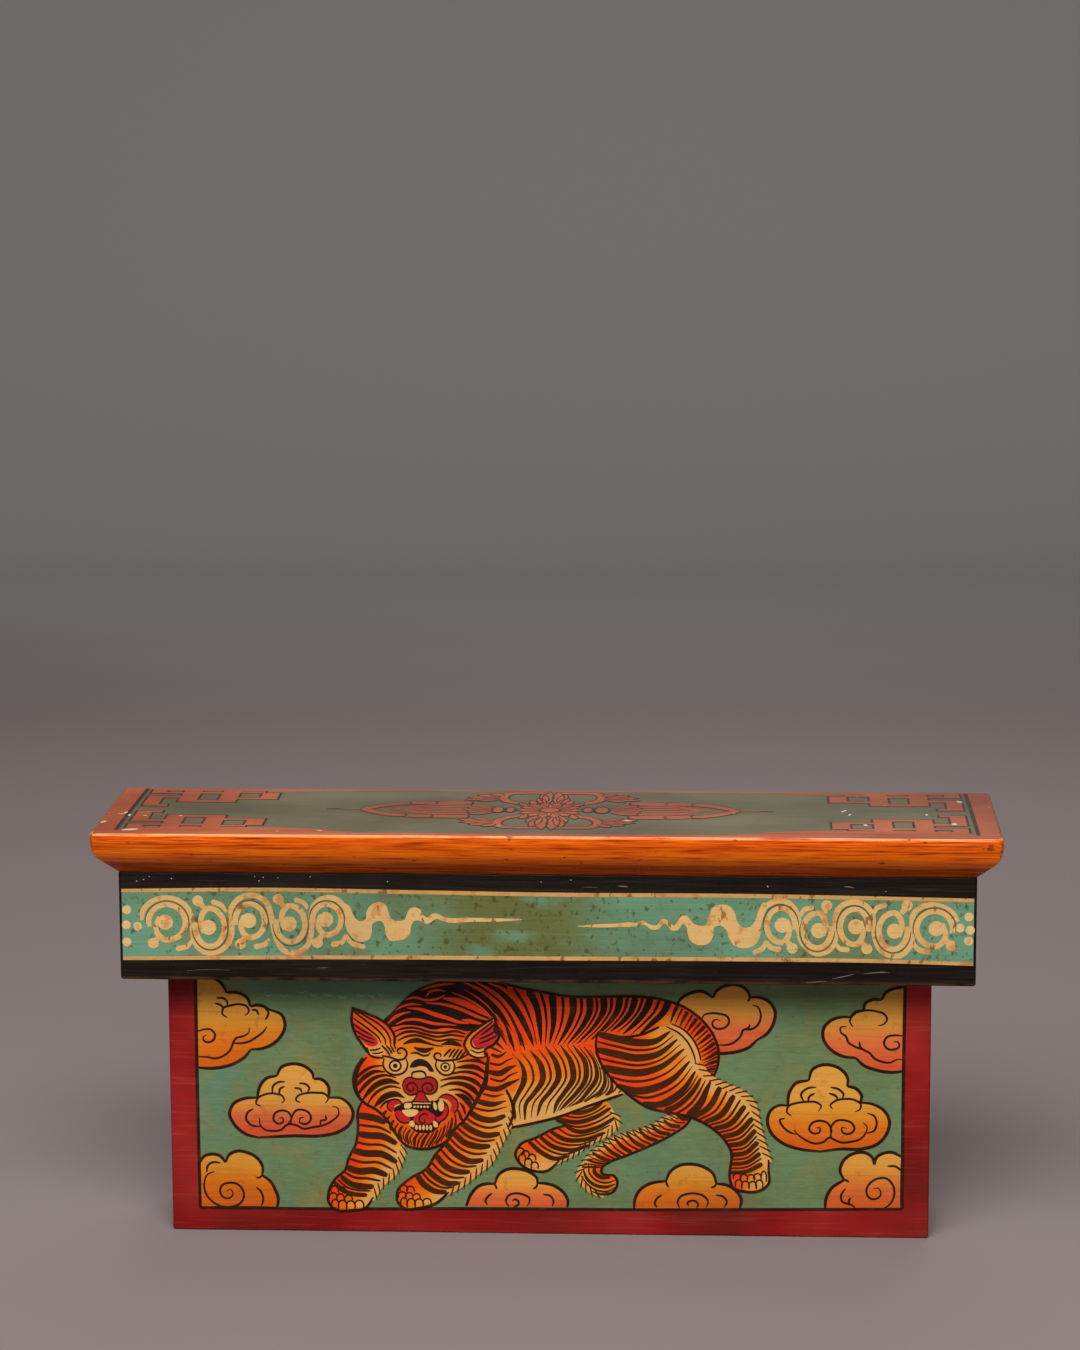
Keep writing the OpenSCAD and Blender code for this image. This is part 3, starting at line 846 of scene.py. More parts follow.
# Each cloud: the lobes of its outline, each from the end of the one before, the lines inside it,
# the heights that its shading runs between, and how far its lower part leans from orange to coral
CLOUDS = [
    ([[(-254, 122.5), (-246, 122), (-236, 123), (-226, 126.5), (-219.5, 131), (-215, 136.5)],
      [(-208, 137), (-201, 139.5), (-193.5, 146), (-190, 154.5), (-192, 162), (-202, 166.5)],
      [(-205, 168.5), (-210, 169.5), (-215, 168.5)],
      [(-217, 174.5), (-222, 178), (-227, 179), (-232, 178.5)],
      [(-234, 183), (-238, 187.5), (-245, 190), (-254, 191)]],
     [[(-254, 149.5), (-249, 151), (-244, 151), (-241, 147.5), (-242, 143.5), (-246, 141.5), (-249.5, 143),
       (-249, 146), (-247, 146.5)],
      [(-254, 130.5), (-247, 130.5), (-241.5, 129.5), (-235, 131.5), (-230, 136), (-228, 141),
       (-226, 144.5), (-220, 146.5), (-216.5, 149), (-216, 152.5)],
      [(-228, 141), (-222, 141), (-216, 142.5), (-210.5, 146), (-206, 149.5), (-203, 154)],
      [(-239.5, 174.5), (-235, 174.5), (-232, 172.5), (-231.5, 169)],
      [(-240.5, 170.5), (-237, 169.5), (-234, 167)],
      [(-232, 160), (-235.5, 163), (-234.5, 167), (-229.5, 169), (-223, 170), (-217.5, 168.5), (-216, 165),
       (-219, 161.5)], [(-214, 166), (-210.5, 165.5), (-209, 162)],
      [(-205, 168), (-202, 164.5), (-203, 160.5), (-204.5, 158.5)]], (128, 170), 0.1),
    ([[(-211, 70.5), (-220, 73), (-228, 80), (-231.5, 88), (-228.5, 95.5), (-221, 99.5), (-211, 100.5)],
      [(-209, 109), (-204, 115), (-196.5, 117)],
      [(-193.5, 123), (-184, 126), (-175, 123.5), (-170.5, 118.5), (-170, 115)],
      [(-164, 114.5), (-159.5, 110), (-159, 101)],
      [(-150, 100.5), (-143.5, 95), (-141.5, 89), (-144.5, 81), (-152, 75.5), (-164, 72.5), (-185, 72),
       (-211, 70.5)]],
     [[(-208.5, 94), (-212, 96), (-211, 99.5), (-205, 103), (-198, 103.5), (-192.5, 101.5), (-191.5, 98.5),
       (-193.5, 96.5)],
      [(-180, 97), (-183, 99), (-181.5, 102), (-176, 104), (-168, 104.5), (-161.5, 103.5), (-159.5, 100.5),
       (-161.5, 96.5)], [(-200, 104), (-199.5, 109), (-196, 112), (-190.5, 112.5)],
      [(-195, 103.5), (-194.5, 107), (-191, 109)],
      [(-180.5, 111.5), (-176, 111), (-173, 108), (-174.5, 105)],
      [(-184, 108), (-179.5, 107), (-178.5, 104.5)],
      [(-214, 92), (-218, 89.5), (-219.5, 84.5), (-216, 80), (-208.5, 78.5)],
      [(-209.5, 85), (-209.5, 80.5), (-206, 76.5), (-200, 75.5), (-194, 76.5), (-189.5, 80.5), (-183, 80),
       (-178, 77.5), (-171.5, 78.5), (-164, 80), (-157, 83.5), (-152, 89), (-153, 93.5), (-156.5, 94.5)],
      [(-165.5, 80.5), (-165, 83.5), (-161.5, 84.5), (-161.5, 88)],
      [(-189.5, 80.5), (-186.5, 85), (-188.5, 89.5), (-193.5, 91), (-198.5, 88.5), (-199.5, 84),
       (-196.5, 81), (-192.5, 82.5), (-193, 85.5), (-195.5, 85)],
      [(-187, 80.5), (-186, 86.5), (-183, 91), (-177.5, 91.5), (-173, 88.5), (-172.5, 84), (-176, 81),
       (-180.5, 82.5), (-180, 85.5), (-177, 86)]], (78, 103), 1.0),
    ([[(-254, 51), (-250.5, 56), (-245.5, 57.5), (-239.5, 56.5), (-235, 51.5)],
      [(-232.5, 57), (-226.5, 60), (-219, 59), (-211.5, 54.5), (-208, 48), (-208.5, 42)],
      [(-203, 38), (-199, 31), (-197, 24.5), (-198, 17.5)], [(-254, 17)]],
     [[(-208.5, 42), (-210, 40.5), (-213, 40)], [(-239, 51), (-244, 51.5), (-248, 49), (-249, 43.5)],
      [(-243.5, 44.5), (-248.5, 42), (-251, 35.5), (-250, 28), (-245, 21.5), (-238, 18), (-230.5, 18),
       (-224.5, 21), (-222, 26.5), (-223.5, 32), (-227.5, 35.5), (-233, 36), (-238, 34), (-239.5, 29.5),
       (-237, 25), (-232.5, 24.5), (-230, 28), (-232, 31), (-235, 29.5)],
      [(-213, 33), (-209.5, 29.5), (-208, 24), (-209.5, 18.5)]], (24, 60), 0.05),
    ([[(-60, 20.5), (-56, 30), (-51, 35.5), (-45, 37.5), (-39, 37.5)],
      [(-36.5, 44), (-30, 48.5), (-22, 49), (-13.5, 46.5), (-8.5, 42), (-8, 38.5)],
      [(-1, 38), (6, 35.5), (12, 30), (14, 25), (13.5, 20.5)]],
     [[(-39.5, 37.5), (-38.5, 36), (-37.5, 33.5)], [(-8, 38.5), (-9, 35.5), (-11.5, 34)],
      [(-41, 30.5), (-44, 28), (-46, 24.5), (-44.5, 21.5)], [(-4, 30), (1, 29), (3.5, 25), (2.5, 21)],
      [(-29, 20.5), (-31, 24.5), (-29.5, 28.5), (-24.5, 30.5), (-18, 29.5), (-14, 27), (-14, 24), (-16, 21)],
      [(-25.5, 20.5), (-22, 22), (-22, 24.5), (-24, 26), (-26.5, 25)]], (20, 44), 0.8),
    ([[(62, 20), (62.5, 27), (67, 35), (75, 39.5), (85, 41)],
      [(88, 48), (95, 53), (103, 54), (112, 52), (119, 47), (121.5, 39.5)],
      [(129, 38.5), (136, 34), (139.5, 27.5), (138.5, 21.5)]],
     [[(85, 41), (85.5, 39), (87, 36.5)], [(121.5, 39.5), (120, 37.5), (117.5, 36.5)],
      [(82, 30.5), (78.5, 28), (77, 24), (78.5, 21)], [(121, 31), (126, 30), (129, 26), (127, 21.5)],
      [(95, 21), (93.5, 24.5), (95, 29), (100, 31.5), (106.5, 32), (112.5, 30), (115.5, 26), (114, 21.5)],
      [(101.5, 22.5), (100.5, 24.5), (103, 26.5), (106.5, 26), (108.5, 23.5), (107, 21)]], (22, 50), 0.1),
    ([[(92, 172), (95.5, 177), (103, 181.5), (111, 182.5), (118.5, 178)],
      [(121, 183), (128, 187), (136, 187.5), (143, 183.5), (145, 178.5)],
      [(152, 178.5), (159, 175), (163, 168), (162, 160), (157.5, 152), (150, 147)],
      [(145, 142), (137, 138.5), (128, 137), (116, 137)]],
     [[(145, 178.5), (144.5, 177), (143, 175.5)],
      [(110.5, 162), (112, 165), (117, 166.5), (124, 166), (129, 164), (130, 160), (127, 156), (122, 155),
       (118.5, 157), (118.5, 160.5), (121.5, 162), (124, 160.5)],
      [(147, 172.5), (150, 172), (152.5, 167.5), (152.5, 162.5), (150, 157.5), (146, 155), (140.5, 154.5),
       (138.5, 150), (136, 147), (131.5, 144), (126, 143), (120, 143.5)],
      [(145, 158.5), (144, 156), (140.5, 154.5)]], (142, 178), 0.9),
    ([[(255, 125), (247, 124), (236, 125.5), (226, 129.5), (221, 134.5)],
      [(212, 135.5), (203, 140.5), (197.5, 149), (198, 156.5), (203, 162), (210, 164.5), (217, 164.5)],
      [(221, 168.5), (226, 169.5)], [(227.5, 175), (232, 177.5), (239, 177.5)],
      [(242, 183), (248, 186), (255, 187)]],
     [[(218.5, 157.5), (216.5, 161.5), (219, 166.5), (226.5, 169.5), (235.5, 169), (241, 167),
       (243, 163.5), (240.5, 159.5), (236.5, 158.5)],
      [(214, 157.5), (210, 157), (210, 153.5), (214, 150), (215.5, 146), (220, 143), (226.5, 140.5),
       (231, 138), (234, 134.5), (239, 132), (246.5, 131.5), (250, 133.5), (255, 133.5)],
      [(223.5, 146.5), (224, 143), (226.5, 140.5)],
      [(255, 151), (249, 151.5), (243, 150), (241, 145.5), (243.5, 141.5), (248.5, 141), (252, 143.5),
       (251, 146.5), (247.5, 146.5)]], (128, 172), 0.9),
    ([[(196, 64.5), (180, 66.5), (169, 70.5), (160.5, 78.5), (158, 87), (160.5, 95), (166, 98.5),
       (172.5, 98.5)], [(173.5, 108), (178, 115), (187.5, 117.5)],
      [(190, 125.5), (197, 129), (205, 128.5), (212, 124.5), (215.5, 118.5), (215, 113.5)],
      [(221.5, 111.5), (225.5, 106), (224.5, 101.5)],
      [(234, 100), (242.5, 94.5), (245.5, 88), (243.5, 78), (237, 70.5), (227, 67), (210, 66.5), (196, 64.5)]],
     [[(175, 91), (172, 93.5), (173, 98), (179, 100.5), (186.5, 101.5), (193.5, 101), (196.5, 98.5),
       (194.5, 94.5)],
      [(204.5, 96.5), (203, 99), (206, 102), (214.5, 104), (221, 103), (225, 100), (224, 96), (221, 94.5)],
      [(184, 101.5), (182, 107), (186.5, 111.5), (193, 112.5)], [(187, 101.5), (188, 105.5), (192, 108)],
      [(203, 112.5), (209, 111), (212.5, 107), (211.5, 104)], [(202, 108), (207, 106), (208.5, 103.5)],
      [(170.5, 89), (167, 88), (169, 83), (174.5, 78.5), (179, 77)],
      [(177, 80.5), (180, 77), (185.5, 73), (192, 70.5), (198, 71.5), (203, 75), (206, 73.5), (211, 71.5),
       (218, 72), (224.5, 74), (228.5, 78.5), (229.5, 83.5), (226.5, 86.5)],
      [(229.5, 78.5), (234.5, 80.5), (236.5, 86), (234.5, 91.5), (229.5, 93.5)],
      [(203, 75), (204, 80.5), (201.5, 85.5), (195.5, 87.5), (190, 85.5), (188, 81), (191, 78),
       (195.5, 79), (195.5, 82.5), (193, 82)],
      [(204, 75), (204, 83.5), (207.5, 87.5), (213.5, 88), (219, 85.5), (220.5, 81.5), (217, 78),
       (212, 79), (211.5, 82.5), (215, 82)]], (72, 104), 0.1),
    ([[(200, 21.5), (200.5, 29), (204, 36.5), (213.5, 43.5)],
      [(210.5, 50), (213, 58), (219.5, 63), (228, 64), (233.5, 60.5), (235, 55)],
      [(237, 61), (241, 63.5), (247, 64.5), (255, 61)], [(255, 22)]],
     [[(213.5, 43.5), (215.5, 43), (217, 41.5)], [(244.5, 54), (250, 54), (255, 50.5)],
      [(240, 21), (246.5, 25.5), (249.5, 32), (248.5, 40), (243.5, 45), (237, 44.5), (231.5, 40.5),
       (229.5, 35), (232, 30), (237, 29.5), (240, 33), (238, 37.5), (234.5, 37)],
      [(214.5, 37), (211.5, 32), (212, 27.5), (216.5, 25.5), (219.5, 24.5), (222, 22)],
      [(218.5, 30), (217, 28), (217.5, 25.5)]], (24, 62), 0.6),
]


def ramped(low, high):
    """A rule of shade that rises from a low to a high height."""
    return lambda x, y: min(max((y - low) / (high - low), 0), 1)


def clouds(face, which, name, move=None):
    """Fills and lines the chosen clouds, moved by a rule where they are repeated on another face."""
    move = move or (lambda points: points)
    fills = Coats(face)
    lines = Strokes(face, 0.24)
    for lobes, inside, (low, high), coral in which:
        outline = []
        start = []
        for lobe in lobes:
            lobe = start + lobe
            start = lobe[-1:]
            outline += smooth(move(lobe))[:-1]
            lines.line(move(lobe), 2.4, 0.65, 0.65)
        outline.append(Vector(move(start)[0]))
        (_, bottom), (_, top) = move([(0, low), (0, high)])
        fills.coat(outline, 0.16, ramped(bottom, top), coral, cell=5)
        for line in inside:
            lines.line(move(line), 1.65, 0.5, 0.3)
    fills.build(name + "_fill", CLOUD)
    lines.build(name + "_line", INK)


panel_field()
clouds(PANEL, CLOUDS, "panel_clouds")

# Tiger, built up from its far limbs to its face. Each limb: outline, height of its coat, spots of
# shade from 0, deep red, through orange to 1, cream, the edges that get a line, and its hair fringes
TAIL = [
    (96, 91.5), (86, 88), (74.5, 81), (62, 76.5), (47, 71.5), (34.5, 63), (26, 53.5), (22, 45), (25.5, 38),
    (32, 32.5), (38, 30.5), (45, 31.5), (49.5, 37), (49.5, 41.5), (47, 44.8), (42, 45), (38.5, 46.5),
    (39, 51), (44.5, 55), (56.5, 60), (73.5, 67.5), (90, 76.5), (100, 84), (104, 90),
]
FAR_HIND = [
    (41, 101), (25, 95.5), (9, 89.5), (6, 86.5), (12.5, 83), (3, 79), (-9, 72.5), (-20, 67.5), (-24, 60),
    (-20, 52.5), (-10, 47.5), (-2, 47.5), (8, 55.5), (18, 61), (32, 70.5), (45, 77.5), (50, 84.5),
    (47.5, 92.5),
]
TORSO = [
    (-50, 188), (-33, 187), (-17, 183.5), (-3, 181), (12, 178.3), (40, 178), (60, 178.5), (81, 176.5),
    (98.5, 170.5), (110, 162), (118.5, 151), (122.5, 139), (122, 128), (118, 117), (90, 104), (54, 106),
    (31, 97.5), (6, 88), (-11, 83.5), (-29, 79.5), (-42, 100), (-52, 130), (-54, 160),
]
NEAR_HIND = [
    (36, 152), (34.5, 144.5), (37.5, 130), (45.5, 117.5), (60, 104), (71.5, 96.5), (85, 93), (103.5, 89),
    (116.5, 82.5), (126.5, 73.5), (132.5, 62), (131.5, 52), (131, 45), (133.5, 37), (142, 34), (153, 35),
    (159, 40), (159, 50), (159, 58), (154, 73.5), (151, 86.5), (147, 101), (138.5, 108.5), (127.5, 113),
    (116, 120), (108.5, 130), (106, 139), (101, 148), (92, 155.5), (80, 156), (66, 150), (50, 148.5),
]
FAR_FORE = [
    (-134, 100), (-138, 91), (-138, 79), (-140, 66), (-145, 56), (-148, 46.5), (-155, 40), (-160, 30.5),
    (-160, 22), (-155, 17), (-142, 16.5), (-134, 18), (-127.5, 26.5), (-122, 35), (-112.5, 44), (-106, 57.5),
    (-104.5, 65), (-110, 76), (-120, 92),
]
NEAR_FORE = [
    (-66, 80), (-73.5, 69), (-82, 59), (-88, 49), (-101, 40.5), (-109.5, 32), (-110, 24), (-106, 19),
    (-92.5, 19), (-82, 22.5), (-72.5, 31), (-61, 38), (-51, 46.5), (-42.5, 53.5), (-36, 66), (-29, 79.5),
    (-25, 91), (-26.5, 101), (-23, 110), (-19, 120), (-24, 133), (-35, 138), (-47, 135), (-54, 115),
    (-62, 95),
]
HEAD = [
    (-134, 131.5), (-139, 123), (-141, 114), (-139, 105), (-133, 97.5), (-124, 92), (-117, 85), (-111, 75),
    (-104, 66.5), (-94, 63.5), (-82, 65), (-72.5, 71), (-69.5, 77), (-61.5, 84.5), (-53.5, 98), (-47, 112),
    (-43.5, 126), (-44, 136), (-42, 150), (-37, 164), (-31, 176), (-29, 186), (-42, 188.3), (-60, 189),
    (-80, 186.5), (-95, 180.5), (-108, 169), (-117, 158), (-122, 146), (-127, 137),
]
LEFT_EAR = [
    (-140.8, 168.4), (-131, 164.2), (-121.4, 160), (-114.5, 154.4), (-110.8, 147.4), (-111, 140),
    (-115, 135.5), (-121, 133), (-129, 134), (-134, 141), (-139, 149), (-141.6, 158),
]
RIGHT_EAR = [
    (-38.6, 162), (-50, 154.6), (-58.4, 147), (-60.4, 141), (-57, 135.4), (-50, 131.6), (-45, 132.6),
    (-45.4, 138), (-39.5, 142), (-35.6, 147), (-36.6, 155),
]

LIMBS = [
    (TAIL, 0.3,
     [(96, 84, 0.25), (70, 68, 0.25), (45, 57, 0.3), (42, 47, 0.25), (90, 90, 0.7), (65, 78, 0.85),
      (40, 70, 0.9), (24, 52, 0.95), (24, 38, 0.9), (38, 31, 0.8), (46, 38, 0.7), (75, 75, 0.42),
      (52, 65, 0.42), (34, 54, 0.5)], [TAIL[10:]], (TAIL[10::-1], 24, -1)),
    (FAR_HIND, 0.32,
     [(40, 98, 0.7), (12, 86, 0.25), (2, 76, 0.3), (-14, 67, 0.38), (-20, 60, 0.55), (-14, 53, 0.9),
      (-4, 50, 0.95), (12, 57, 1.0), (28, 66, 1.0), (46, 78, 1.0), (49, 90, 0.95), (10, 68, 0.55),
      (26, 80, 0.55), (38, 86, 0.8)], [FAR_HIND[:13]], (FAR_HIND[12:], 13, 1)),
    (TORSO, 0.44,
     [(-30, 184, 0.2), (0, 179, 0.22), (40, 176, 0.22), (80, 174, 0.22), (108, 160, 0.2), (120, 140, 0.15),
      (120, 124, 0.2), (108, 145, 0.5), (111, 128, 0.6), (-20, 160, 0.28), (10, 160, 0.3), (45, 160, 0.32),
      (75, 163, 0.4), (60, 150, 0.45), (85, 158, 0.7), (0, 142, 0.36), (30, 142, 0.36), (-26, 140, 0.4),
      (20, 125, 0.62), (-10, 122, 0.56), (35, 122, 0.85), (-10, 108, 0.85), (15, 106, 0.95),
      (36, 110, 0.98), (-20, 92, 0.98), (5, 93, 1.0), (30, 101, 1.0)], [TORSO[:14], TORSO[15:20]], None),
    (FAR_FORE, 0.46,
     [(-136, 92, 0.25), (-138, 70, 0.25), (-144, 52, 0.25), (-154, 36, 0.25), (-157, 22, 0.3),
      (-147, 20, 0.5), (-132, 24, 0.9), (-126, 70, 0.5), (-128, 52, 0.6), (-140, 32, 0.55),
      (-112, 70, 0.8), (-107, 58, 0.98), (-114, 46, 1.0), (-123, 36, 1.0)], [FAR_FORE[:13]],
     (FAR_FORE[12:17], 9, 1)),
    (NEAR_FORE, 0.56,
     [(-66, 78, 0.3), (-80, 60, 0.3), (-90, 47, 0.3), (-105, 36, 0.3), (-107, 23, 0.5), (-95, 22, 0.7),
      (-80, 26, 0.95), (-55, 72, 0.55), (-68, 52, 0.6), (-84, 37, 0.55), (-40, 74, 0.75), (-38, 64, 0.98),
      (-48, 50, 1.0), (-64, 38, 1.0), (-30, 84, 0.95), (-45, 125, 0.3), (-28, 130, 0.42), (-24, 118, 0.55),
      (-42, 108, 0.42), (-30, 98, 0.75)],
     [NEAR_FORE[:11], [(-28.5, 80.5), (-25.5, 90), (-27, 101), (-30.5, 108.5)]], (NEAR_FORE[10:17], 15, 1)),
    (NEAR_HIND, 0.56,
     [(38, 146, 0.22), (42, 126, 0.25), (60, 108, 0.25), (85, 95, 0.25), (108, 88, 0.22), (126, 76, 0.25),
      (133, 60, 0.28), (134, 44, 0.25), (137, 38, 0.35), (146, 38, 0.85), (156, 42, 0.95), (62, 143, 0.4),
      (66, 125, 0.36), (80, 108, 0.36), (85, 148, 0.85), (98, 143, 0.95), (90, 130, 0.66),
      (106, 128, 0.98), (103, 112, 0.6), (118, 113, 0.95), (118, 97, 0.55), (138, 104, 1.0),
      (147, 92, 1.0), (137, 78, 0.55), (151, 76, 1.0), (155, 60, 1.0), (143, 55, 0.5)],
     [NEAR_HIND[:19], NEAR_HIND[29:] + NEAR_HIND[:1]], (NEAR_HIND[18:26], 18, 1)),
    (LEFT_EAR, 0.8,
     [(-139, 165, 0.45), (-126, 161, 0.3), (-116, 154, 0.36), (-112, 144, 0.5), (-130, 156, 0.55),
      (-120, 147, 0.74), (-138, 152, 0.5), (-122, 136, 0.95), (-116, 139, 0.8)],
     [LEFT_EAR[:6], LEFT_EAR[8:] + LEFT_EAR[:1]], None),
    (RIGHT_EAR, 0.8,
     [(-40, 161, 0.75), (-56, 149, 0.6), (-58, 141, 0.72), (-42, 146, 0.3), (-53, 135, 0.98)],
     [RIGHT_EAR[:5], RIGHT_EAR[6:] + RIGHT_EAR[:1]], None),
    (HEAD, 0.68,
     [(-60, 187, 0.0), (-95, 178, 0.05), (-36, 178, 0.05), (-110, 163, 0.15), (-80, 170, 0.1),
      (-50, 165, 0.15), (-115, 152, 0.3), (-88, 153, 0.34), (-62, 152, 0.3), (-105, 143, 0.66),
      (-90, 143, 0.62), (-72, 142, 0.66), (-110, 126, 1.0), (-92, 126, 1.0), (-74, 126, 1.0),
      (-92, 115, 1.0), (-136, 124, 0.25), (-138, 110, 0.25), (-128, 100, 0.45), (-122, 115, 0.6),
      (-112, 105, 0.85), (-48, 128, 0.3), (-48, 112, 0.28), (-56, 98, 0.3), (-62, 114, 0.6),
      (-74, 108, 0.95), (-116, 86, 0.36), (-104, 74, 0.5), (-90, 68, 0.4), (-76, 74, 0.36), (-66, 86, 0.3),
      (-104, 98, 0.95), (-80, 102, 0.95)], [HEAD[:18], HEAD[23:28]], None),
]

# Stripe sets: height, stations along each rail that a stripe runs across, number of broad stripes,
# width of the broad and of the fine stripes between them, the share of it at each rail, and how
# brown they are
STRIPES = [
    (0.36,
     [[(102, 88), (90, 77.5), (73.5, 68), (56.5, 60.5), (44, 55), (39, 51)],
      [(97, 88), (82, 78.5), (66, 71.5), (50, 65), (37, 57), (32, 51)],
      [(92, 91), (76, 84), (60, 78), (44, 72.5), (30, 61), (24, 51)]], 10, 3.0, 1.5, (1.0, 1.0, 0.5), 0.7),
    (0.38,
     [[(13, 92.5), (6.4, 87.2), (11, 82.6), (0, 78.6), (-7.5, 74.6), (-15, 70.6)],
      [(22, 91.5), (20, 84.5), (21, 77.5), (12, 71.5), (3.5, 66), (-5, 61.5)],
      [(33, 95), (34, 88.5), (35, 80.5), (26, 71.5), (16, 63.5), (5, 57)],
      [(39, 99.5), (45, 95.5), (48, 88), (41, 77), (30, 67.5), (14, 59)]], 6, 3.6, 1.7,
     (0.7, 1.0, 0.95, 0.7), 0.75),
    (0.5,
     [[(-57, 182), (-35, 184.5), (-14, 183), (3, 180.5), (18, 178.5), (30, 178), (40, 178), (52, 178),
       (63, 178), (74, 177.5), (87, 175.5)],
      [(-40, 170), (-24, 170), (-8, 170), (4, 168.5), (18, 166.5), (30, 167), (40, 168), (50, 168),
       (60, 168), (70, 168), (83, 167)],
      [(-28, 158), (-17, 157), (-6, 157), (4, 158), (15, 157), (26, 158), (36, 160), (44, 159), (54, 160),
       (63, 159), (75, 159)],
      [(-19, 141), (-11, 142), (-5, 142), (1, 143), (7, 142), (14, 142.5), (21, 143), (31, 146),
       (45, 152.5), (54, 150.5), (65, 149.5)]], 11, 4.8, 2.0, (1.25, 1.0, 0.8, 0.2), 0.4),
    (0.5,
     [[(-26, 135), (-13, 138), (-2, 141), (9, 142), (18, 142), (26, 141), (34, 137), (41, 128)],
      [(-19, 125), (-5, 126), (6, 128), (17, 128), (27, 128), (34, 128), (40, 123), (45, 117)],
      [(-17.5, 115), (-4, 116), (7.5, 118), (18, 117), (27, 117), (35, 118), (41, 115), (46, 112)],
      [(-21, 107), (-10, 106), (2, 108), (12, 107), (20, 106), (29, 108), (38, 108), (45, 108)],
      [(-25, 98), (-16, 98), (-5, 99), (6, 98), (13, 98.5), (22, 100), (31, 103), (43, 106)],
      [(-23.5, 87), (-17, 86), (-8, 89), (4, 91), (8, 93), (15, 96), (26, 99.8), (41, 105)]], 8, 4.4, 1.7,
     (0.2, 0.95, 1.0, 0.8, 0.65, 0.35), 0.8),
    (0.5,
     [[(93, 172), (104, 165.5), (113, 157), (119, 148), (122, 138), (122, 128), (119.5, 121)],
      [(90, 165), (100.5, 159.5), (108, 152), (113.5, 143.5), (116, 134), (116.5, 127), (116, 121)],
      [(88, 159), (98, 155), (104, 148), (108.5, 140), (111, 131.5), (112.5, 125.5), (114, 121)]], 10, 3.0,
     1.6, (1.0, 0.75, 0.2), 0.6),
    (0.62,
     [[(36, 150.5), (35, 139), (38, 126), (49, 112.5), (68, 99), (84, 93.5), (100, 90)],
      [(50, 147), (50, 135.5), (52, 123), (62, 108.5), (79, 98.5), (92, 97), (106, 95)],
      [(64, 144.5), (64, 133), (66, 122), (76, 110.5), (89, 103), (100, 103.5), (111, 102)],
      [(77, 145.5), (79, 136), (80, 126), (89, 117), (98, 110.5), (106, 111), (114, 109.5)],
      [(88, 153), (93, 147), (98, 140), (102, 131), (106, 123.5), (110, 118.5), (117, 116)]], 7, 6.0, 2.0,
     (0.8, 1.0, 0.95, 0.75, 0.3), 0.75),
    (0.62,
     [[(105, 89), (115, 84), (124, 76), (130, 67), (132, 57), (131.5, 48)],
      [(116, 97), (127, 88), (135, 79), (141, 69), (143, 58.5), (143, 49)],
      [(124, 112), (138, 103.5), (147, 91), (150, 78.5), (152.5, 66), (154.5, 55)]], 8, 4.6, 1.8,
     (0.9, 1.0, 0.85), 0.8),
    (0.52,
     [[(-138, 88), (-138, 74), (-143, 62), (-147, 49), (-151, 42), (-156, 37.5)],
      [(-131, 87), (-130, 73), (-133, 59.5), (-138, 46), (-144, 36.5), (-149, 31)],
      [(-124, 85.5), (-121, 72.5), (-121, 59), (-127, 46.5), (-135, 34.5), (-141, 28.5)],
      [(-118, 82.5), (-110, 67), (-110, 53), (-117, 43), (-127, 34.5), (-132, 28)]], 6, 5.2, 2.0,
     (0.9, 1.0, 1.0, 0.75), 0.75),
    (0.62,
     [[(-59, 93), (-64, 84), (-69, 76), (-75, 68), (-82, 59), (-89, 49), (-96, 44)],
      [(-50, 87), (-54, 77), (-60, 68), (-66, 59), (-74, 50), (-81, 41.5), (-90, 36)],
      [(-41, 85.5), (-45, 74), (-50, 65.5), (-57, 54.5), (-65, 46.5), (-73, 37.5), (-82, 31.5)],
      [(-31, 89), (-35, 75.5), (-42, 66), (-47, 55.5), (-57, 46.5), (-65, 38), (-74, 31)]], 7, 4.8, 2.0,
     (0.9, 1.0, 0.95, 0.7), 0.85),
    (0.74,
     [[(-117, 92), (-111, 84), (-104, 80), (-98, 77), (-90, 75), (-82, 76.5), (-76, 80.5), (-70, 86.5),
       (-65.5, 93)],
      [(-119, 89.5), (-113.5, 79.5), (-106.5, 74.5), (-101, 71.5), (-94, 69.5), (-86, 69.5), (-78.5, 72.5),
       (-71.5, 79), (-63.5, 88)],
      [(-120.5, 88), (-113, 75.5), (-104.5, 68), (-99.5, 66), (-95, 64.5), (-89, 64.5), (-83.5, 65.5),
       (-75.5, 70.5), (-62.5, 85)]], 10, 2.5, 1.7, (0.6, 1.0, 0.9), 0.7),
]
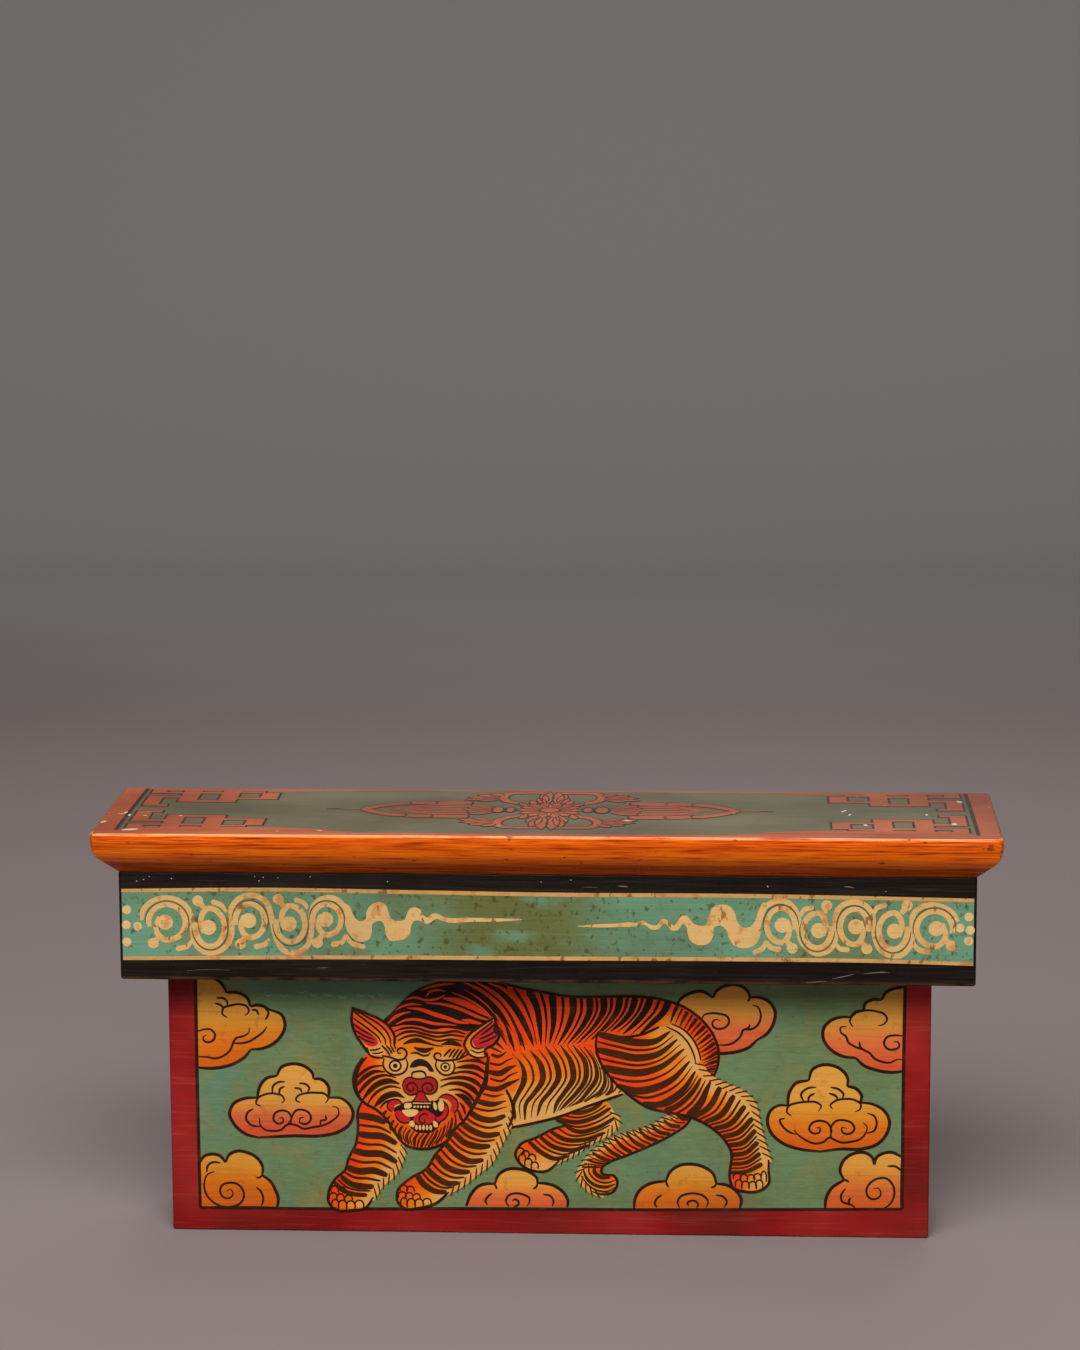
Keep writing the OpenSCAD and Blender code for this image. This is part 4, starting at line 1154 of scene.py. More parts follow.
# Stripes that curl round the end of the tail, and those of the shoulder, each drawn by itself:
# across, up, width
TAIL_TIP = [
    [(34, 53, 1.6), (33.2, 47.5, 3.0), (37.6, 43.6, 3.2), (44.6, 43, 1.6)],
    [(29, 54, 0.8), (29.8, 46, 1.4), (35.5, 40.6, 1.5), (43, 39.4, 1.5), (48.4, 41.4, 0.9)],
    [(25, 49.5, 1.2), (28, 42, 2.4), (34.8, 37, 2.6), (42.4, 36.2, 2.4), (48.4, 38.6, 1.0)],
    [(23.4, 44.5, 0.8), (30, 36.4, 1.4), (36.2, 33.2, 1.5), (43.1, 33, 1.4), (48, 36, 0.8)],
    [(31, 32.8, 1.0), (38.6, 30.6, 2.0), (45, 32, 1.0)],
]
SHOULDER = [
    [(-40.7, 157.5, 0.8), (-34.8, 151, 2.2), (-29.7, 141.5, 0.7)],
    [(-42.9, 148, 1.0), (-37.8, 143.8, 2.2), (-31.9, 138.5, 0.7)],
    [(-43.2, 140.5, 1.2), (-38, 138.4, 1.8), (-33.4, 136, 0.6)],
    [(-37, 157, 0.6), (-31.6, 149.5, 1.4), (-27.4, 140.5, 0.6)],
    [(-43, 121.5, 3.6), (-35, 120.5, 4.4), (-28, 124.5, 3.2), (-23, 126.5, 0.8)],
    [(-42, 128, 2.0), (-35, 127, 1.8), (-29, 130.5, 1.2), (-25, 132, 0.6)],
    [(-41, 134.5, 2.6), (-36, 133, 2.4), (-30, 136.5, 0.8)],
    [(-42, 116.5, 1.8), (-34, 114.8, 1.8), (-27, 119.5, 1.4), (-22, 121.5, 0.6)],
    [(-46, 110, 4.0), (-37, 108.8, 4.0), (-29, 112.5, 3.4), (-20.5, 116.5, 0.8)],
    [(-47, 105, 1.8), (-39, 103.4, 1.8), (-32, 105, 0.6)],
    [(-51, 99.5, 4.2), (-41, 97.4, 4.2), (-30.5, 100, 0.8)],
    [(-54, 94.5, 1.8), (-43, 92.5, 1.8), (-30, 95.5, 0.6)],
    [(49.5, 113, 0.6), (48.6, 110, 1.4), (46.5, 107, 0.5)],
    [(53, 110, 0.6), (52, 108.2, 1.2), (50.5, 106.8, 0.5)],
]
THIGH_LINE = [(87, 157.5), (96, 152.8), (102, 146.5), (106, 139), (108.3, 130.5)]

# Broad brush work of the mane, brow and cheeks: across, up, width
MANE = [
    [(-41, 166, 2.5), (-35, 161, 4), (-29.5, 151, 4.5), (-25.5, 142, 2), (-24, 137, 0.6)],
    [(-47, 183, 3), (-37.5, 175, 4.5), (-29, 166, 4.5), (-23, 154.5, 4), (-18.5, 144, 2), (-16.5, 138, 0.6)],
    [(-38, 185, 4), (-28.5, 179, 4.5), (-21, 169.5, 4.5), (-15.5, 158.5, 4), (-12, 148, 2),
     (-10.5, 141, 0.6)],
    [(-131, 131.5, 1.4), (-136.5, 126, 3.4), (-139.4, 117, 3.6), (-139.2, 108, 2.6), (-136, 101.5, 1.4)],
    [(-111, 151, 1.2), (-103, 153.6, 1.9), (-96, 153.8, 1.9), (-86, 151, 1.9), (-76, 150.3, 1.9),
     (-66, 151.5, 1.9), (-59.5, 149.5, 1.2)],
    [(-110, 147, 1.2), (-104, 150.3, 2.2), (-96, 151, 1.9), (-88, 149, 1.9), (-80, 147.3, 1.7),
     (-70, 148.8, 1.9), (-60, 147.5, 1.2)],
    [(-108.5, 144, 1), (-103, 147, 1.8), (-95, 148.3, 1.8), (-87, 146.3, 1.8), (-79, 144.3, 1.6),
     (-70, 145.6, 1.7), (-62, 144.5, 1)],
    [(-104.5, 141.5, 1.2), (-100, 143.6, 2.9), (-94.5, 144.6, 3.8), (-89, 143.2, 2.4), (-83, 141.3, 1.4),
     (-76, 140.3, 1)],
    [(-77, 141.5, 1), (-70, 143, 3.8), (-65, 141.8, 3.1), (-62, 140.3, 1)],
    [(-97, 139.3, 1), (-93, 137.7, 3.1), (-89.5, 137, 3.8), (-86, 137.7, 2.9), (-82.5, 139, 1)],
    [(-99.5, 134.8, 1), (-95, 135.2, 1.6), (-90, 133.2, 1.6), (-86.5, 133.8, 1.4), (-85, 135.5, 1)],
    [(-119, 125.5, 1), (-127, 124.5, 1.9), (-134, 120.5, 2.6), (-138.5, 116, 1.9)],
    [(-118, 120.8, 1), (-125, 121, 2.6), (-132.5, 117, 3.4), (-139.5, 109.5, 1.9)],
    [(-110, 116.6, 1), (-118, 118.3, 1.9), (-126, 116, 2.9), (-133, 110, 2.9), (-137.5, 104, 1.9)],
    [(-107.5, 112, 1.2), (-115, 114, 4.1), (-123.5, 111.5, 4.3), (-130.5, 105, 3.1), (-134.5, 99.5, 1.4)],
    [(-106.5, 108.5, 1), (-113, 110, 1.9), (-121, 107.6, 2.2), (-127, 102.5, 1.9), (-130.5, 97, 1.2)],
    [(-104, 101.5, 1), (-110, 104.2, 4.3), (-117, 102.8, 4.8), (-122.5, 98.3, 3.6), (-126, 94.5, 1.4)],
    [(-112, 100.6, 1), (-118, 98, 1.7), (-122, 93.5, 1.2)],
    [(-67, 124.2, 1), (-60, 125.2, 3.1), (-52, 124.8, 3.6), (-45.5, 121, 1.9)],
    [(-66, 128.6, 1), (-58, 129.8, 1.9), (-50, 129.5, 2.6), (-44.5, 127, 1.7)],
    [(-72, 119, 1), (-63, 121.3, 1.9), (-54, 120.5, 2.4), (-46, 116, 1.7)],
    [(-78, 114.8, 1), (-70, 116.6, 2.2), (-60, 116.8, 3.1), (-52, 113.6, 3.6), (-47.5, 109, 1.9)],
    [(-78, 109.8, 1), (-71, 112.6, 2.2), (-61, 112, 3.6), (-53.5, 107.8, 4.1), (-50, 103, 1.9)],
    [(-72, 107.6, 1), (-64, 108, 1.9), (-57, 104, 2.4), (-53, 98.5, 1.7)],
    [(-67.5, 104.6, 1), (-62, 103, 4.1), (-57.5, 98.5, 4.6), (-55.5, 93.5, 1.9)],
    [(-64, 98.5, 1), (-61.5, 95, 2.2), (-60, 89.5, 1.2)],
    [(-43, 133, 2.6), (-44.5, 121.4, 3.2), (-45.4, 112.9, 3.2), (-49.8, 104.3, 3.0), (-53.4, 97.1, 2.8),
     (-57, 90, 2.0)],
]
MANE_GROUND = [
    (-119, 156), (-108, 169), (-95, 180.3), (-80, 186.3), (-60, 188.7), (-42, 188), (-29.5, 185.5),
    (-31, 176), (-36, 166), (-41, 159.5), (-50, 154), (-58, 151.6), (-65, 153), (-74, 153.8), (-83, 152.6),
    (-92, 155), (-103, 155.8), (-113, 154.4),
]
RED_LOCKS = [
    [(-69.2, 180.6, 0.5), (-56, 174.6, 1.5), (-46.4, 168, 1.3), (-40.2, 162, 0.5)],
    [(-60, 182.6, 0.4), (-50.5, 176.6, 1.2), (-43, 170.2, 1.0), (-38.4, 164.6, 0.4)],
    [(-115.5, 157, 1.0), (-109.2, 162.3, 2.2), (-104, 164.6, 1.6), (-99, 165.6, 0.8)],
    [(-101.5, 168.6, 0.8), (-91.3, 167.4, 2.4), (-80.3, 163.6, 3.2), (-72.7, 161.4, 2.8),
     (-64.8, 158.6, 2.4), (-57, 157.4, 1.0)],
    [(-109.6, 156.4, 0.8), (-101.5, 159.8, 1.8), (-94.2, 160, 2.0), (-82.5, 157.2, 2.2),
     (-73.6, 156.6, 1.6), (-66, 156, 0.6)],
    [(-62, 160.2, 0.8), (-57.5, 159.4, 3.0), (-51, 158, 2.2), (-46, 157, 0.8)],
    [(-87.6, 172.4, 0.8), (-76.6, 171.6, 1.8), (-65, 168.8, 2.4), (-55.9, 164.9, 2.4), (-47.6, 161.5, 2.0),
     (-42, 160, 0.8)],
    [(-75.7, 176, 1.4), (-66, 174.4, 4.2), (-56, 170.6, 4.4), (-48, 166.2, 3.2), (-40.6, 162, 1.0)],
    [(-60.4, 188, 0.8), (-50.1, 183.1, 2.4), (-41.3, 177, 2.6), (-32.5, 167.8, 2.6), (-26.6, 157.1, 2.6),
     (-22.2, 146.4, 2.0), (-19.6, 138, 0.6)],
    [(-51.6, 188, 0.8), (-42.8, 183.1, 2.4), (-32.5, 174.7, 2.6), (-25.2, 164.8, 2.6), (-19.3, 152.5, 2.4),
     (-14.9, 141.8, 0.8)],
    [(-42.8, 187.6, 0.8), (-32.5, 183.4, 2.4), (-23.7, 175.5, 2.6), (-16.4, 164.8, 2.6), (-12, 154.1, 2.4),
     (-9, 143.4, 0.8)],
    [(-37.7, 164.8, 1.0), (-32.5, 155.6, 2.4), (-29.6, 146.4, 2.0), (-26.9, 139, 0.8)],
    [(-103, 174.4, 0.6), (-95.7, 176.4, 1.8), (-88.3, 174.6, 1.5), (-79.5, 175.5, 1.6), (-74, 178.4, 0.6)],
    [(-91.3, 181.6, 0.6), (-85.4, 184, 1.4), (-76.6, 186, 1.6), (-66.3, 186.8, 0.6)],
    [(-87.6, 177, 0.6), (-85.4, 180.2, 1.5), (-79.5, 182, 1.6), (-73.6, 181.2, 0.6)],
    [(-110, 166.6, 0.5), (-105, 169.6, 1.4), (-98, 171.4, 1.5), (-91, 171, 0.5)],
]
FACE_LINES = [
    ([(-118.5, 131), (-119.3, 126), (-117, 121.5), (-112.5, 118.9), (-107, 119.2), (-103, 122),
      (-101.5, 126.5), (-102.5, 131)], 1.4),
    ([(-80.5, 130), (-81.2, 126), (-79, 121.5), (-75, 119), (-71, 119.3), (-68.3, 122), (-67.5, 126.5),
      (-69, 130)], 1.4),
    ([(-120, 133), (-114, 131.8), (-108, 130), (-103.5, 131.3), (-102, 135), (-103.7, 138),
      (-106.7, 138.7), (-108.8, 136.8), (-107.8, 134.8), (-106, 135)], 1.5),
    ([(-57, 135), (-64, 131.3), (-72, 129.9), (-78, 129.8), (-81.8, 131.5), (-82, 134), (-79.5, 135.3),
      (-77.3, 134), (-78, 132.4)], 1.5),
    ([(-120, 140.5), (-116.5, 136.8), (-114, 133)], 1.5),
    ([(-116.8, 140.5), (-114.5, 137.8), (-112.5, 134.5)], 1.4),
    ([(-113.8, 140.5), (-112.4, 138.3), (-111, 135.6)], 1.3), ([(-110.8, 140.3), (-109.6, 138)], 1.1),
    ([(-69.8, 138.6), (-72.5, 136), (-75.2, 132.8)], 1.5),
    ([(-67, 138.6), (-69.5, 135.6), (-71.5, 132)], 1.4), ([(-64.3, 138.6), (-66.8, 135), (-69, 131.6)], 1.5),
    ([(-61.6, 138.2), (-64, 134.8), (-66.4, 131.6)], 1.5),
    ([(-59.2, 137.2), (-61.2, 134.6), (-63.6, 132)], 1.5), ([(-57, 136), (-59, 134)], 1.4),
    ([(-98.6, 117.5), (-98.2, 120.2), (-94.5, 121.5), (-90.2, 121.2), (-88.4, 119), (-88.4, 117)], 1.4),
    ([(-105.4, 111), (-104, 115), (-100, 117), (-96, 116), (-91, 116), (-85.5, 117.4), (-81.5, 115.5),
      (-80, 111), (-81.5, 106.5), (-85, 104.6), (-88.5, 105), (-92.3, 106.8), (-96, 104.6), (-100, 103.8),
      (-104, 106.5), (-105.4, 111)], 1.3),
    ([(-94.4, 106.5), (-94.8, 110.4), (-98, 113), (-101.5, 111.6), (-102, 108.4), (-99.5, 106.6),
      (-97.2, 108), (-98.2, 110)], 1.4),
    ([(-90.6, 106.5), (-91, 110.4), (-88, 112.8), (-84.6, 112), (-83.4, 109), (-85.5, 107), (-88, 108),
      (-87.2, 110)], 1.4),
    ([(-95, 105), (-96, 102), (-98.4, 98.8), (-103.5, 98.2)], 1.1),
    ([(-89.6, 105), (-88, 101.5), (-85.6, 98.6), (-83, 99.8)], 1.1),
    ([(-104, 98.3), (-97.5, 98.6), (-90, 98.5), (-84, 98.4)], 0.9),
    ([(-105.5, 96.9), (-108, 99.8), (-112, 100.4), (-115.8, 98.2), (-116.4, 94), (-113.5, 91)], 1.2),
    ([(-80, 100.6), (-77.5, 103.2), (-73.5, 104.6), (-69, 103), (-65.6, 98.8), (-65.6, 94), (-68.5, 90)],
     1.2),
    ([(-111, 90), (-109, 85.2), (-104.5, 82.6), (-100.5, 83.5)], 1.1),
    ([(-79.6, 83.4), (-75.2, 86), (-72.4, 91), (-73, 96.5)], 1.1),
    ([(-87, 88.6), (-89.5, 89.8), (-92.6, 88.2), (-93.4, 85), (-91.6, 82.6), (-89.4, 83.6), (-90, 86)], 1.3),
    ([(-99.8, 80), (-96, 77.2), (-90, 76.2), (-84, 77), (-80, 80)], 1.5),
    ([(-140, 165.5), (-133, 160), (-126, 154.6), (-120.5, 149.4), (-117.5, 144.5), (-117.4, 140.8)], 1.4),
    ([(-139, 166.6), (-130, 161.4), (-121.5, 156), (-116, 150), (-113.8, 144.5), (-113.6, 140)], 1.4),
    ([(-141, 161), (-134, 156), (-127, 150.6), (-122.5, 146.6), (-120.5, 142.5)], 1.4),
    ([(-141.4, 168.6), (-139.2, 166), (-136, 163.8)], 2.0),
    ([(-140.6, 156.5), (-134, 151.8), (-126.4, 147.6)], 1.3),
    ([(-139.6, 152), (-133, 147.8), (-125.5, 144.8)], 1.3),
    ([(-137, 147.4), (-131.5, 144.2), (-125.5, 142.4)], 1.3),
    ([(-130.8, 139), (-128.8, 133.4), (-123.5, 131.4), (-118.5, 131.4)], 1.5),
    ([(-129, 137), (-124.5, 137.2), (-121, 138.6)], 1.3), ([(-127, 134.6), (-122, 134.8), (-119, 136)], 1.2),
    ([(-39.5, 159.5), (-46, 154), (-52, 149), (-55.5, 144.5), (-54.5, 140.5), (-50.5, 138.8), (-46, 140)],
     1.4),
    ([(-38.2, 157.2), (-43, 152.8), (-48.5, 149)], 1.5), ([(-37, 152.8), (-42.5, 149), (-49.5, 145.6)], 1.5),
    ([(-36.8, 148.6), (-43, 145.4), (-49.5, 142.6)], 1.5), ([(-37, 158), (-38.4, 152.5), (-36, 149)], 1.8),
    ([(-60, 139), (-56.5, 134.4), (-50, 132), (-45, 133)], 1.5),
    ([(-56, 138), (-51, 135.8), (-46, 136.8)], 1.2),
]
CRIMSON_COATS = [
    [(-105.4, 111), (-104, 115), (-100, 117), (-96, 116), (-91, 116), (-85.5, 117.4), (-81.5, 115.5),
     (-80, 111), (-81.5, 106.5), (-85, 104.6), (-88.5, 105), (-92.3, 106.6), (-96, 104.6), (-100, 103.8),
     (-104, 106.5)],
    [(-105.8, 97), (-108, 99.6), (-112, 100.2), (-115.6, 98), (-116, 94), (-113.5, 91.2), (-111.5, 92.5),
     (-111.5, 95.5), (-109, 97)],
    [(-110.6, 91.4), (-107, 91.8), (-105, 89.4), (-100.5, 87.2), (-100, 84), (-104.5, 83), (-108.6, 85.5)],
    [(-78.5, 102), (-73.5, 104.4), (-69, 102.8), (-65.8, 98.6), (-65.8, 94), (-68.5, 90.4), (-70.6, 92.5),
     (-70, 97), (-73, 100.4)],
    [(-79.8, 83.8), (-75.4, 86.4), (-72.8, 91), (-73.4, 96), (-75.4, 95), (-76, 91), (-78, 88), (-81.4, 87)],
    [(-96.6, 88.4), (-92.5, 91.6), (-89, 92.8), (-85, 90.6), (-81.8, 88), (-82.4, 84.8), (-86, 82.4),
     (-90, 81.8), (-95, 82.6), (-97.6, 85)],
    [(-140.4, 158), (-134, 153.6), (-127, 148.6), (-123.4, 145), (-123, 141.6), (-128, 139.6),
     (-133, 142.8), (-137.6, 149)],
    [(-54.4, 145.4), (-50, 150.2), (-45, 154.4), (-39.6, 159.4), (-37, 157), (-38.2, 152), (-36.2, 147.4),
     (-41, 143), (-46, 139.8), (-51.5, 139.8)],
]
BONE_COATS = [
    [(-106, 92), (-103.6, 88.6), (-99.6, 87.4), (-96, 88.8), (-94, 92), (-97, 93), (-102, 92.8)],
    [(-104, 97), (-104, 94), (-101, 93.6), (-99, 95), (-99, 97.2)],
    [(-100.6, 83.4), (-98.4, 84.6), (-96.8, 80.6), (-99.2, 79.4)],
    [(-83, 84.6), (-80.4, 83.2), (-80.6, 79.6), (-82.6, 80)],
]
LIP = [
    (-94.6, 105.6), (-92.3, 106.4), (-90, 105.6), (-88.6, 102.4), (-86.4, 99.2), (-92, 98.9), (-97.6, 99.2),
    (-95.8, 102.4),
]
MOUTH = [
    (-112, 93), (-107, 96.5), (-103.5, 98.2), (-94, 98.4), (-84, 98.6), (-79.5, 100.4), (-75.5, 99.6),
    (-72.5, 96.5), (-72.6, 90), (-77, 85), (-79.8, 80.2), (-86, 76.6), (-93, 76.6), (-99, 79.4), (-102, 84),
    (-109, 88),
]
NOSE_ARCH = [
    (-99.8, 124.2), (-98, 128.5), (-94, 130.7), (-89, 130), (-85, 126.5), (-82.8, 121.2), (-85.4, 121.4),
    (-88, 124.6), (-92, 125.4), (-97, 124.2),
]
# Toes: place, reach across and up, and shade. Knuckles over them: place
TOES = [
    (-155.4, 21.6, 2.4, 3.0, 0.42), (-150, 20.8, 2.9, 3.2, 0.55), (-144, 20.6, 3.0, 3.0, 0.75),
    (-137.8, 21.4, 3.0, 2.7, 0.92), (-105.2, 23.6, 2.3, 2.8, 0.5), (-100, 22.8, 2.8, 3.0, 0.66),
    (-94.2, 22.8, 2.9, 2.8, 0.84), (-88.4, 23.6, 2.8, 2.4, 0.96), (-19, 58, 2.2, 2.6, 0.6),
    (-14.6, 54.6, 2.4, 2.4, 0.8), (-10, 52.2, 2.4, 2.2, 0.95), (137.6, 40.4, 2.3, 2.5, 0.4),
    (142.4, 39.2, 2.6, 2.6, 0.6), (147.6, 39, 2.6, 2.6, 0.9), (152.4, 40.2, 2.4, 2.6, 1.0),
    (155.6, 45.8, 1.8, 3.6, 1.0),
]
TOE = [(-1.0, -1.2), (-1.0, 0.2), (-0.6, 0.8), (0, 1.0), (0.6, 0.8), (1.0, 0.2), (1.0, -1.2)]
KNUCKLES = [
    (-156.8, 26.6), (-151.6, 25.8), (-145.6, 25), (-155.6, 31.8), (-150.4, 31), (-106.4, 28), (-101.4, 27.4),
    (-96, 26.6), (-105.2, 33), (-100.4, 32.2), (-20.4, 62), (-16.6, 60), (-12, 57.4), (136.4, 45),
    (141.2, 44), (146.4, 43.8), (151, 44.6),
]


def fringe(dark, pale, rail, count, side):
    """Hairs that stand out from a limb's back edge and lie towards its paw: pale locks, dark strokes."""
    path = smooth(rail)
    for k in range(count):
        for step, brush, width, outer, tip in ((0.1, pale, 2.6, 1.6, 0.1), (0.6, dark, 1.2, 3.3, 0.4)):
            share = (k + step) / count
            root = along(path, share)
            run = (along(path, share + 0.02) - along(path, share - 0.02)).normalized()
            out = Vector((run.y, -run.x)) * side
            hair = [root - out * 3.0 + run * 3.2, root + run * 0.3, root + out * outer - run * 3.2]
            brush.line(hair, width, 0.6, tip, shade=0.92, reach=0.5)


def at_station(rail, share):
    """The point at a share of a rail's stations, which may run a little past either end."""
    position = share * (len(rail) - 1)
    i = min(max(int(position), 0), len(rail) - 2)
    return Vector(rail[i]).lerp(Vector(rail[i + 1]), position - i)


# Heights of the dark lines: on the tail, on the near limbs, and on the head and the toes
TAIL_LINES = 0.36
NEAR_LINES = 0.62
HEAD_LINES = 0.74
# How far lines and pale hairs lie over the coat of their limb
LINES_OVER = 0.06
HAIRS_OVER = 0.03


def tiger():
    """Coats, outlines, stripes and fringes of the limbs from the far side to the near, and the mane."""
    hide = Coats(PANEL)
    dark = {}
    pale = {}
    for outline, height, spots, edges, hairs in LIMBS:
        hide.coat(smooth(outline, closed=True), height, blended(spots), cell=3)
        level = round(height + LINES_OVER, 2)
        brush = dark.setdefault(level, Strokes(PANEL, level))
        for edge in edges:
            brush.line(edge, 2.0, 0.6, 0.6, reach=0.1)
        if hairs:
            locks = pale.setdefault(height, Strokes(PANEL, height + HAIRS_OVER))
            fringe(brush, locks, *hairs)
    for height, rails, count, broad, fine, shares, brown in STRIPES:
        last = 2 * count - 2
        for k in range(last + 1):
            width, most = (fine, 0.45) if k % 2 else (broad, 0.98)
            points = [at_station(rail, k / last) for rail in rails]
            stripe = []
            for i, (rail, share) in enumerate(zip(rails, shares)):
                run = (points[min(i + 1, len(rails) - 1)] - points[max(i - 1, 0)]).normalized()
                step = at_station(rail, (k + 0.5) / last) - at_station(rail, (k - 0.5) / last)
                room = abs(run.x * step.y - run.y * step.x)
                stripe.append((points[i].x, points[i].y, max(min(width * share, most * room), 0.5)))
            dark[height].line(stripe, width, 0.6, 0.6, shade=brown, reach=0.1)
    for level, lines in ((TAIL_LINES, TAIL_TIP), (NEAR_LINES, SHOULDER)):
        for line in lines:
            dark[level].line(line, 1.0, 0.8, 0.8, shade=0.75)
    for side in (-2.3, 2.3):
        line = [(x + side * 0.8, z + side * 0.5) for x, z in THIGH_LINE]
        dark[NEAR_LINES].line(line, 1.3, 0.6, 0.6)
    pale[NEAR_LINES] = Strokes(PANEL, 0.64)
    pale[NEAR_LINES].line(THIGH_LINE, 2.6, 0.5, 0.7, shade=1.0)
    for line in MANE:
        dark[HEAD_LINES].line(line, 1.0, 0.8, 0.8, shade=0.55)
    mane = Coats(PANEL)
    mane.coat(smooth(MANE_GROUND, closed=True), 0.73, 0.35)
    mane.build("tiger_mane", INK)
    locks = Strokes(PANEL, 0.80)
    for line in RED_LOCKS:
        locks.line(line, 1.5, 0.8, 0.8, shade=0.27)
    locks.build("tiger_mane_locks", HIDE)
    for k, (x, z, across, up, shade) in enumerate(TOES):
        hide.disc(x, z, across, 0.66 + 0.002 * k, up, shade)
        dark[HEAD_LINES].line([(x + across * a, z + up * b) for a, b in TOE], 1.2, 0.7, 0.7, shade=0.55)
    turns = [math.radians(24 * d - 30) for d in range(11)]
    for x, z in KNUCKLES:
        arch = [(x + 2.8 * math.cos(a), z + 3.0 * math.sin(a)) for a in turns]
        dark[HEAD_LINES].line(arch, 1.1, 0.7, 0.7, shade=0.55)
    hide.build("tiger_hide", HIDE)
    for level, brush in dark.items():
        brush.build("tiger_lines_%02d" % round(level * 100), INK)
    for level, brush in pale.items():
        brush.build("tiger_fringe_%02d" % round(level * 100), HIDE)


# Heights of the face's coats over the head: dark grounds, crimson and pupils, and its lines
DARK_COAT = 0.80
CRIMSON_COAT = 0.86
PUPIL_COAT = 0.90
FACE_LINE = 0.94


def tiger_face():
    """Mouth, nose, eyes and ears over the head."""
    shut = Coats(PANEL)
    for outline in (MOUTH, NOSE_ARCH):
        shut.coat(smooth(outline, closed=True), DARK_COAT)
    red = Coats(PANEL)
    for outline in CRIMSON_COATS:
        red.coat(smooth(outline, closed=True), CRIMSON_COAT)
    bone = Coats(PANEL)
    for outline in BONE_COATS:
        bone.coat(smooth(outline, closed=True), 0.875)
    red.coat(LIP, 0.88)
    bone.coat([(-98, 97.2), (-85, 97.2), (-85, 98.4), (-98, 98.4)], 0.88)
    for k in range(5):
        bone.disc(-96.8 + 2.4 * k, 95, 0.85, 0.86)
        bone.disc(-95.6 + 2.6 * k, 79.4, 0.95, 0.90, 2.0)
    bone.disc(-77.6, 96, 2.2, 0.92, 4.3)
    bone.disc(-81.9, 95.6, 1.25, 0.92, 3.0, turn=12)
    for x, y, size in ((-110.5, 125.4, 4.8), (-74.2, 124.9, 3.7)):
        shut.disc(x, y, size, DARK_COAT, size * 0.94)
        bone.disc(x, y, size * 0.7, 0.86, size * 0.64)
        shut.disc(x, y, size * 0.36, PUPIL_COAT)
    lines = Strokes(PANEL, FACE_LINE)
    for points, width in FACE_LINES:
        lines.line(points, width, 0.6, 0.5)
    shut.build("tiger_mouth", INK)
    red.build("tiger_crimson", CRIMSON)
    bone.build("tiger_teeth", BONE)
    lines.build("tiger_face_lines", INK)


tiger()
tiger_face()

# Frieze

UPPER_LINE = [
    (-302, 260), (-200, 261.5), (-100, 260.5), (0, 259.5), (150, 259.5), (215, 258.8), (302, 257.5),
]
LOWER_LINE = [(-302, 210.5), (-150, 212.5), (0, 213), (150, 213.5), (240, 213), (302, 211.5)]

# The winding band of each end and the wave that it dies away in: across, up, width
LEFT_BAND = [
    (-288, 238.5, 3.2), (-287, 245, 4), (-282, 251, 4), (-274, 254.5, 4), (-266, 254.5, 4), (-259, 251.5, 4),
    (-254, 246, 4), (-252, 238, 4), (-250.5, 224, 4), (-247, 218, 4), (-241, 215, 4), (-234, 216, 4),
    (-227, 221, 4), (-224, 228, 4), (-223.5, 236, 4), (-223, 249, 4), (-219, 254, 4), (-212, 257, 4),
    (-205, 256.5, 4), (-199, 253, 4), (-196, 246, 4), (-194.5, 238, 4), (-191, 224, 4), (-187, 217.5, 4),
    (-181, 215.5, 4), (-174, 217, 4), (-169, 222, 4), (-167, 229, 4), (-166.5, 238, 4), (-166, 247, 4),
    (-162, 253, 4), (-155, 256, 4), (-148, 254.5, 4), (-143.5, 250, 4),
]
RIGHT_BAND = [
    (291, 242, 3.2), (287, 248, 4), (280, 252.5, 4), (271, 254, 4), (264, 252, 4), (259.5, 247, 4),
    (258.7, 239, 4), (259, 230, 4), (256.5, 222.5, 4), (251, 217.5, 4), (243, 217.5, 4), (236, 222, 4),
    (232.5, 231, 4), (231.5, 240, 4), (230, 248, 4), (226, 253, 4), (219, 255.5, 4), (212, 254.5, 4),
    (206.5, 250, 4), (204.5, 243, 4), (205, 234, 4), (204, 226, 4), (200, 220.5, 4), (193, 218, 4),
    (186, 221, 4), (181, 227, 4), (179, 234, 4), (178.8, 242, 4), (176, 250, 4), (171, 255, 4),
    (163, 256, 4), (156, 252.5, 4),
]
# The wave that each band dies away in, round its outline
LEFT_WAVE = [
    (-143.6, 252), (-140, 250.5), (-136, 242.5), (-132, 239), (-128, 240.5), (-127, 246.5), (-123, 251.5),
    (-118, 253), (-113.5, 251), (-111.5, 245.5), (-109.5, 241), (-104, 239.5), (-100, 240.5), (-98.5, 244.5),
    (-96, 248.5), (-92, 249.5), (-88.5, 247.5), (-86.5, 243.5), (-84, 242), (-81, 244.5), (-77, 245),
    (-74, 243.5), (-71, 242.5), (-55, 242.2), (-40, 242), (-16.5, 241), (-28.5, 239.8), (-53, 239.2),
    (-70.5, 238.8), (-73, 239.5), (-78, 241), (-81, 239), (-84, 237.5), (-87, 238.5), (-90.5, 240),
    (-94, 239), (-95.5, 235.5), (-96.5, 230), (-100, 226.5), (-105.5, 225), (-110.5, 225), (-113.5, 229),
    (-114.5, 235.5), (-116.5, 239), (-120, 239), (-123, 237), (-123.5, 231.5), (-125.5, 226), (-131, 224),
    (-136, 225.5), (-140, 230), (-143, 238), (-144.6, 246),
]
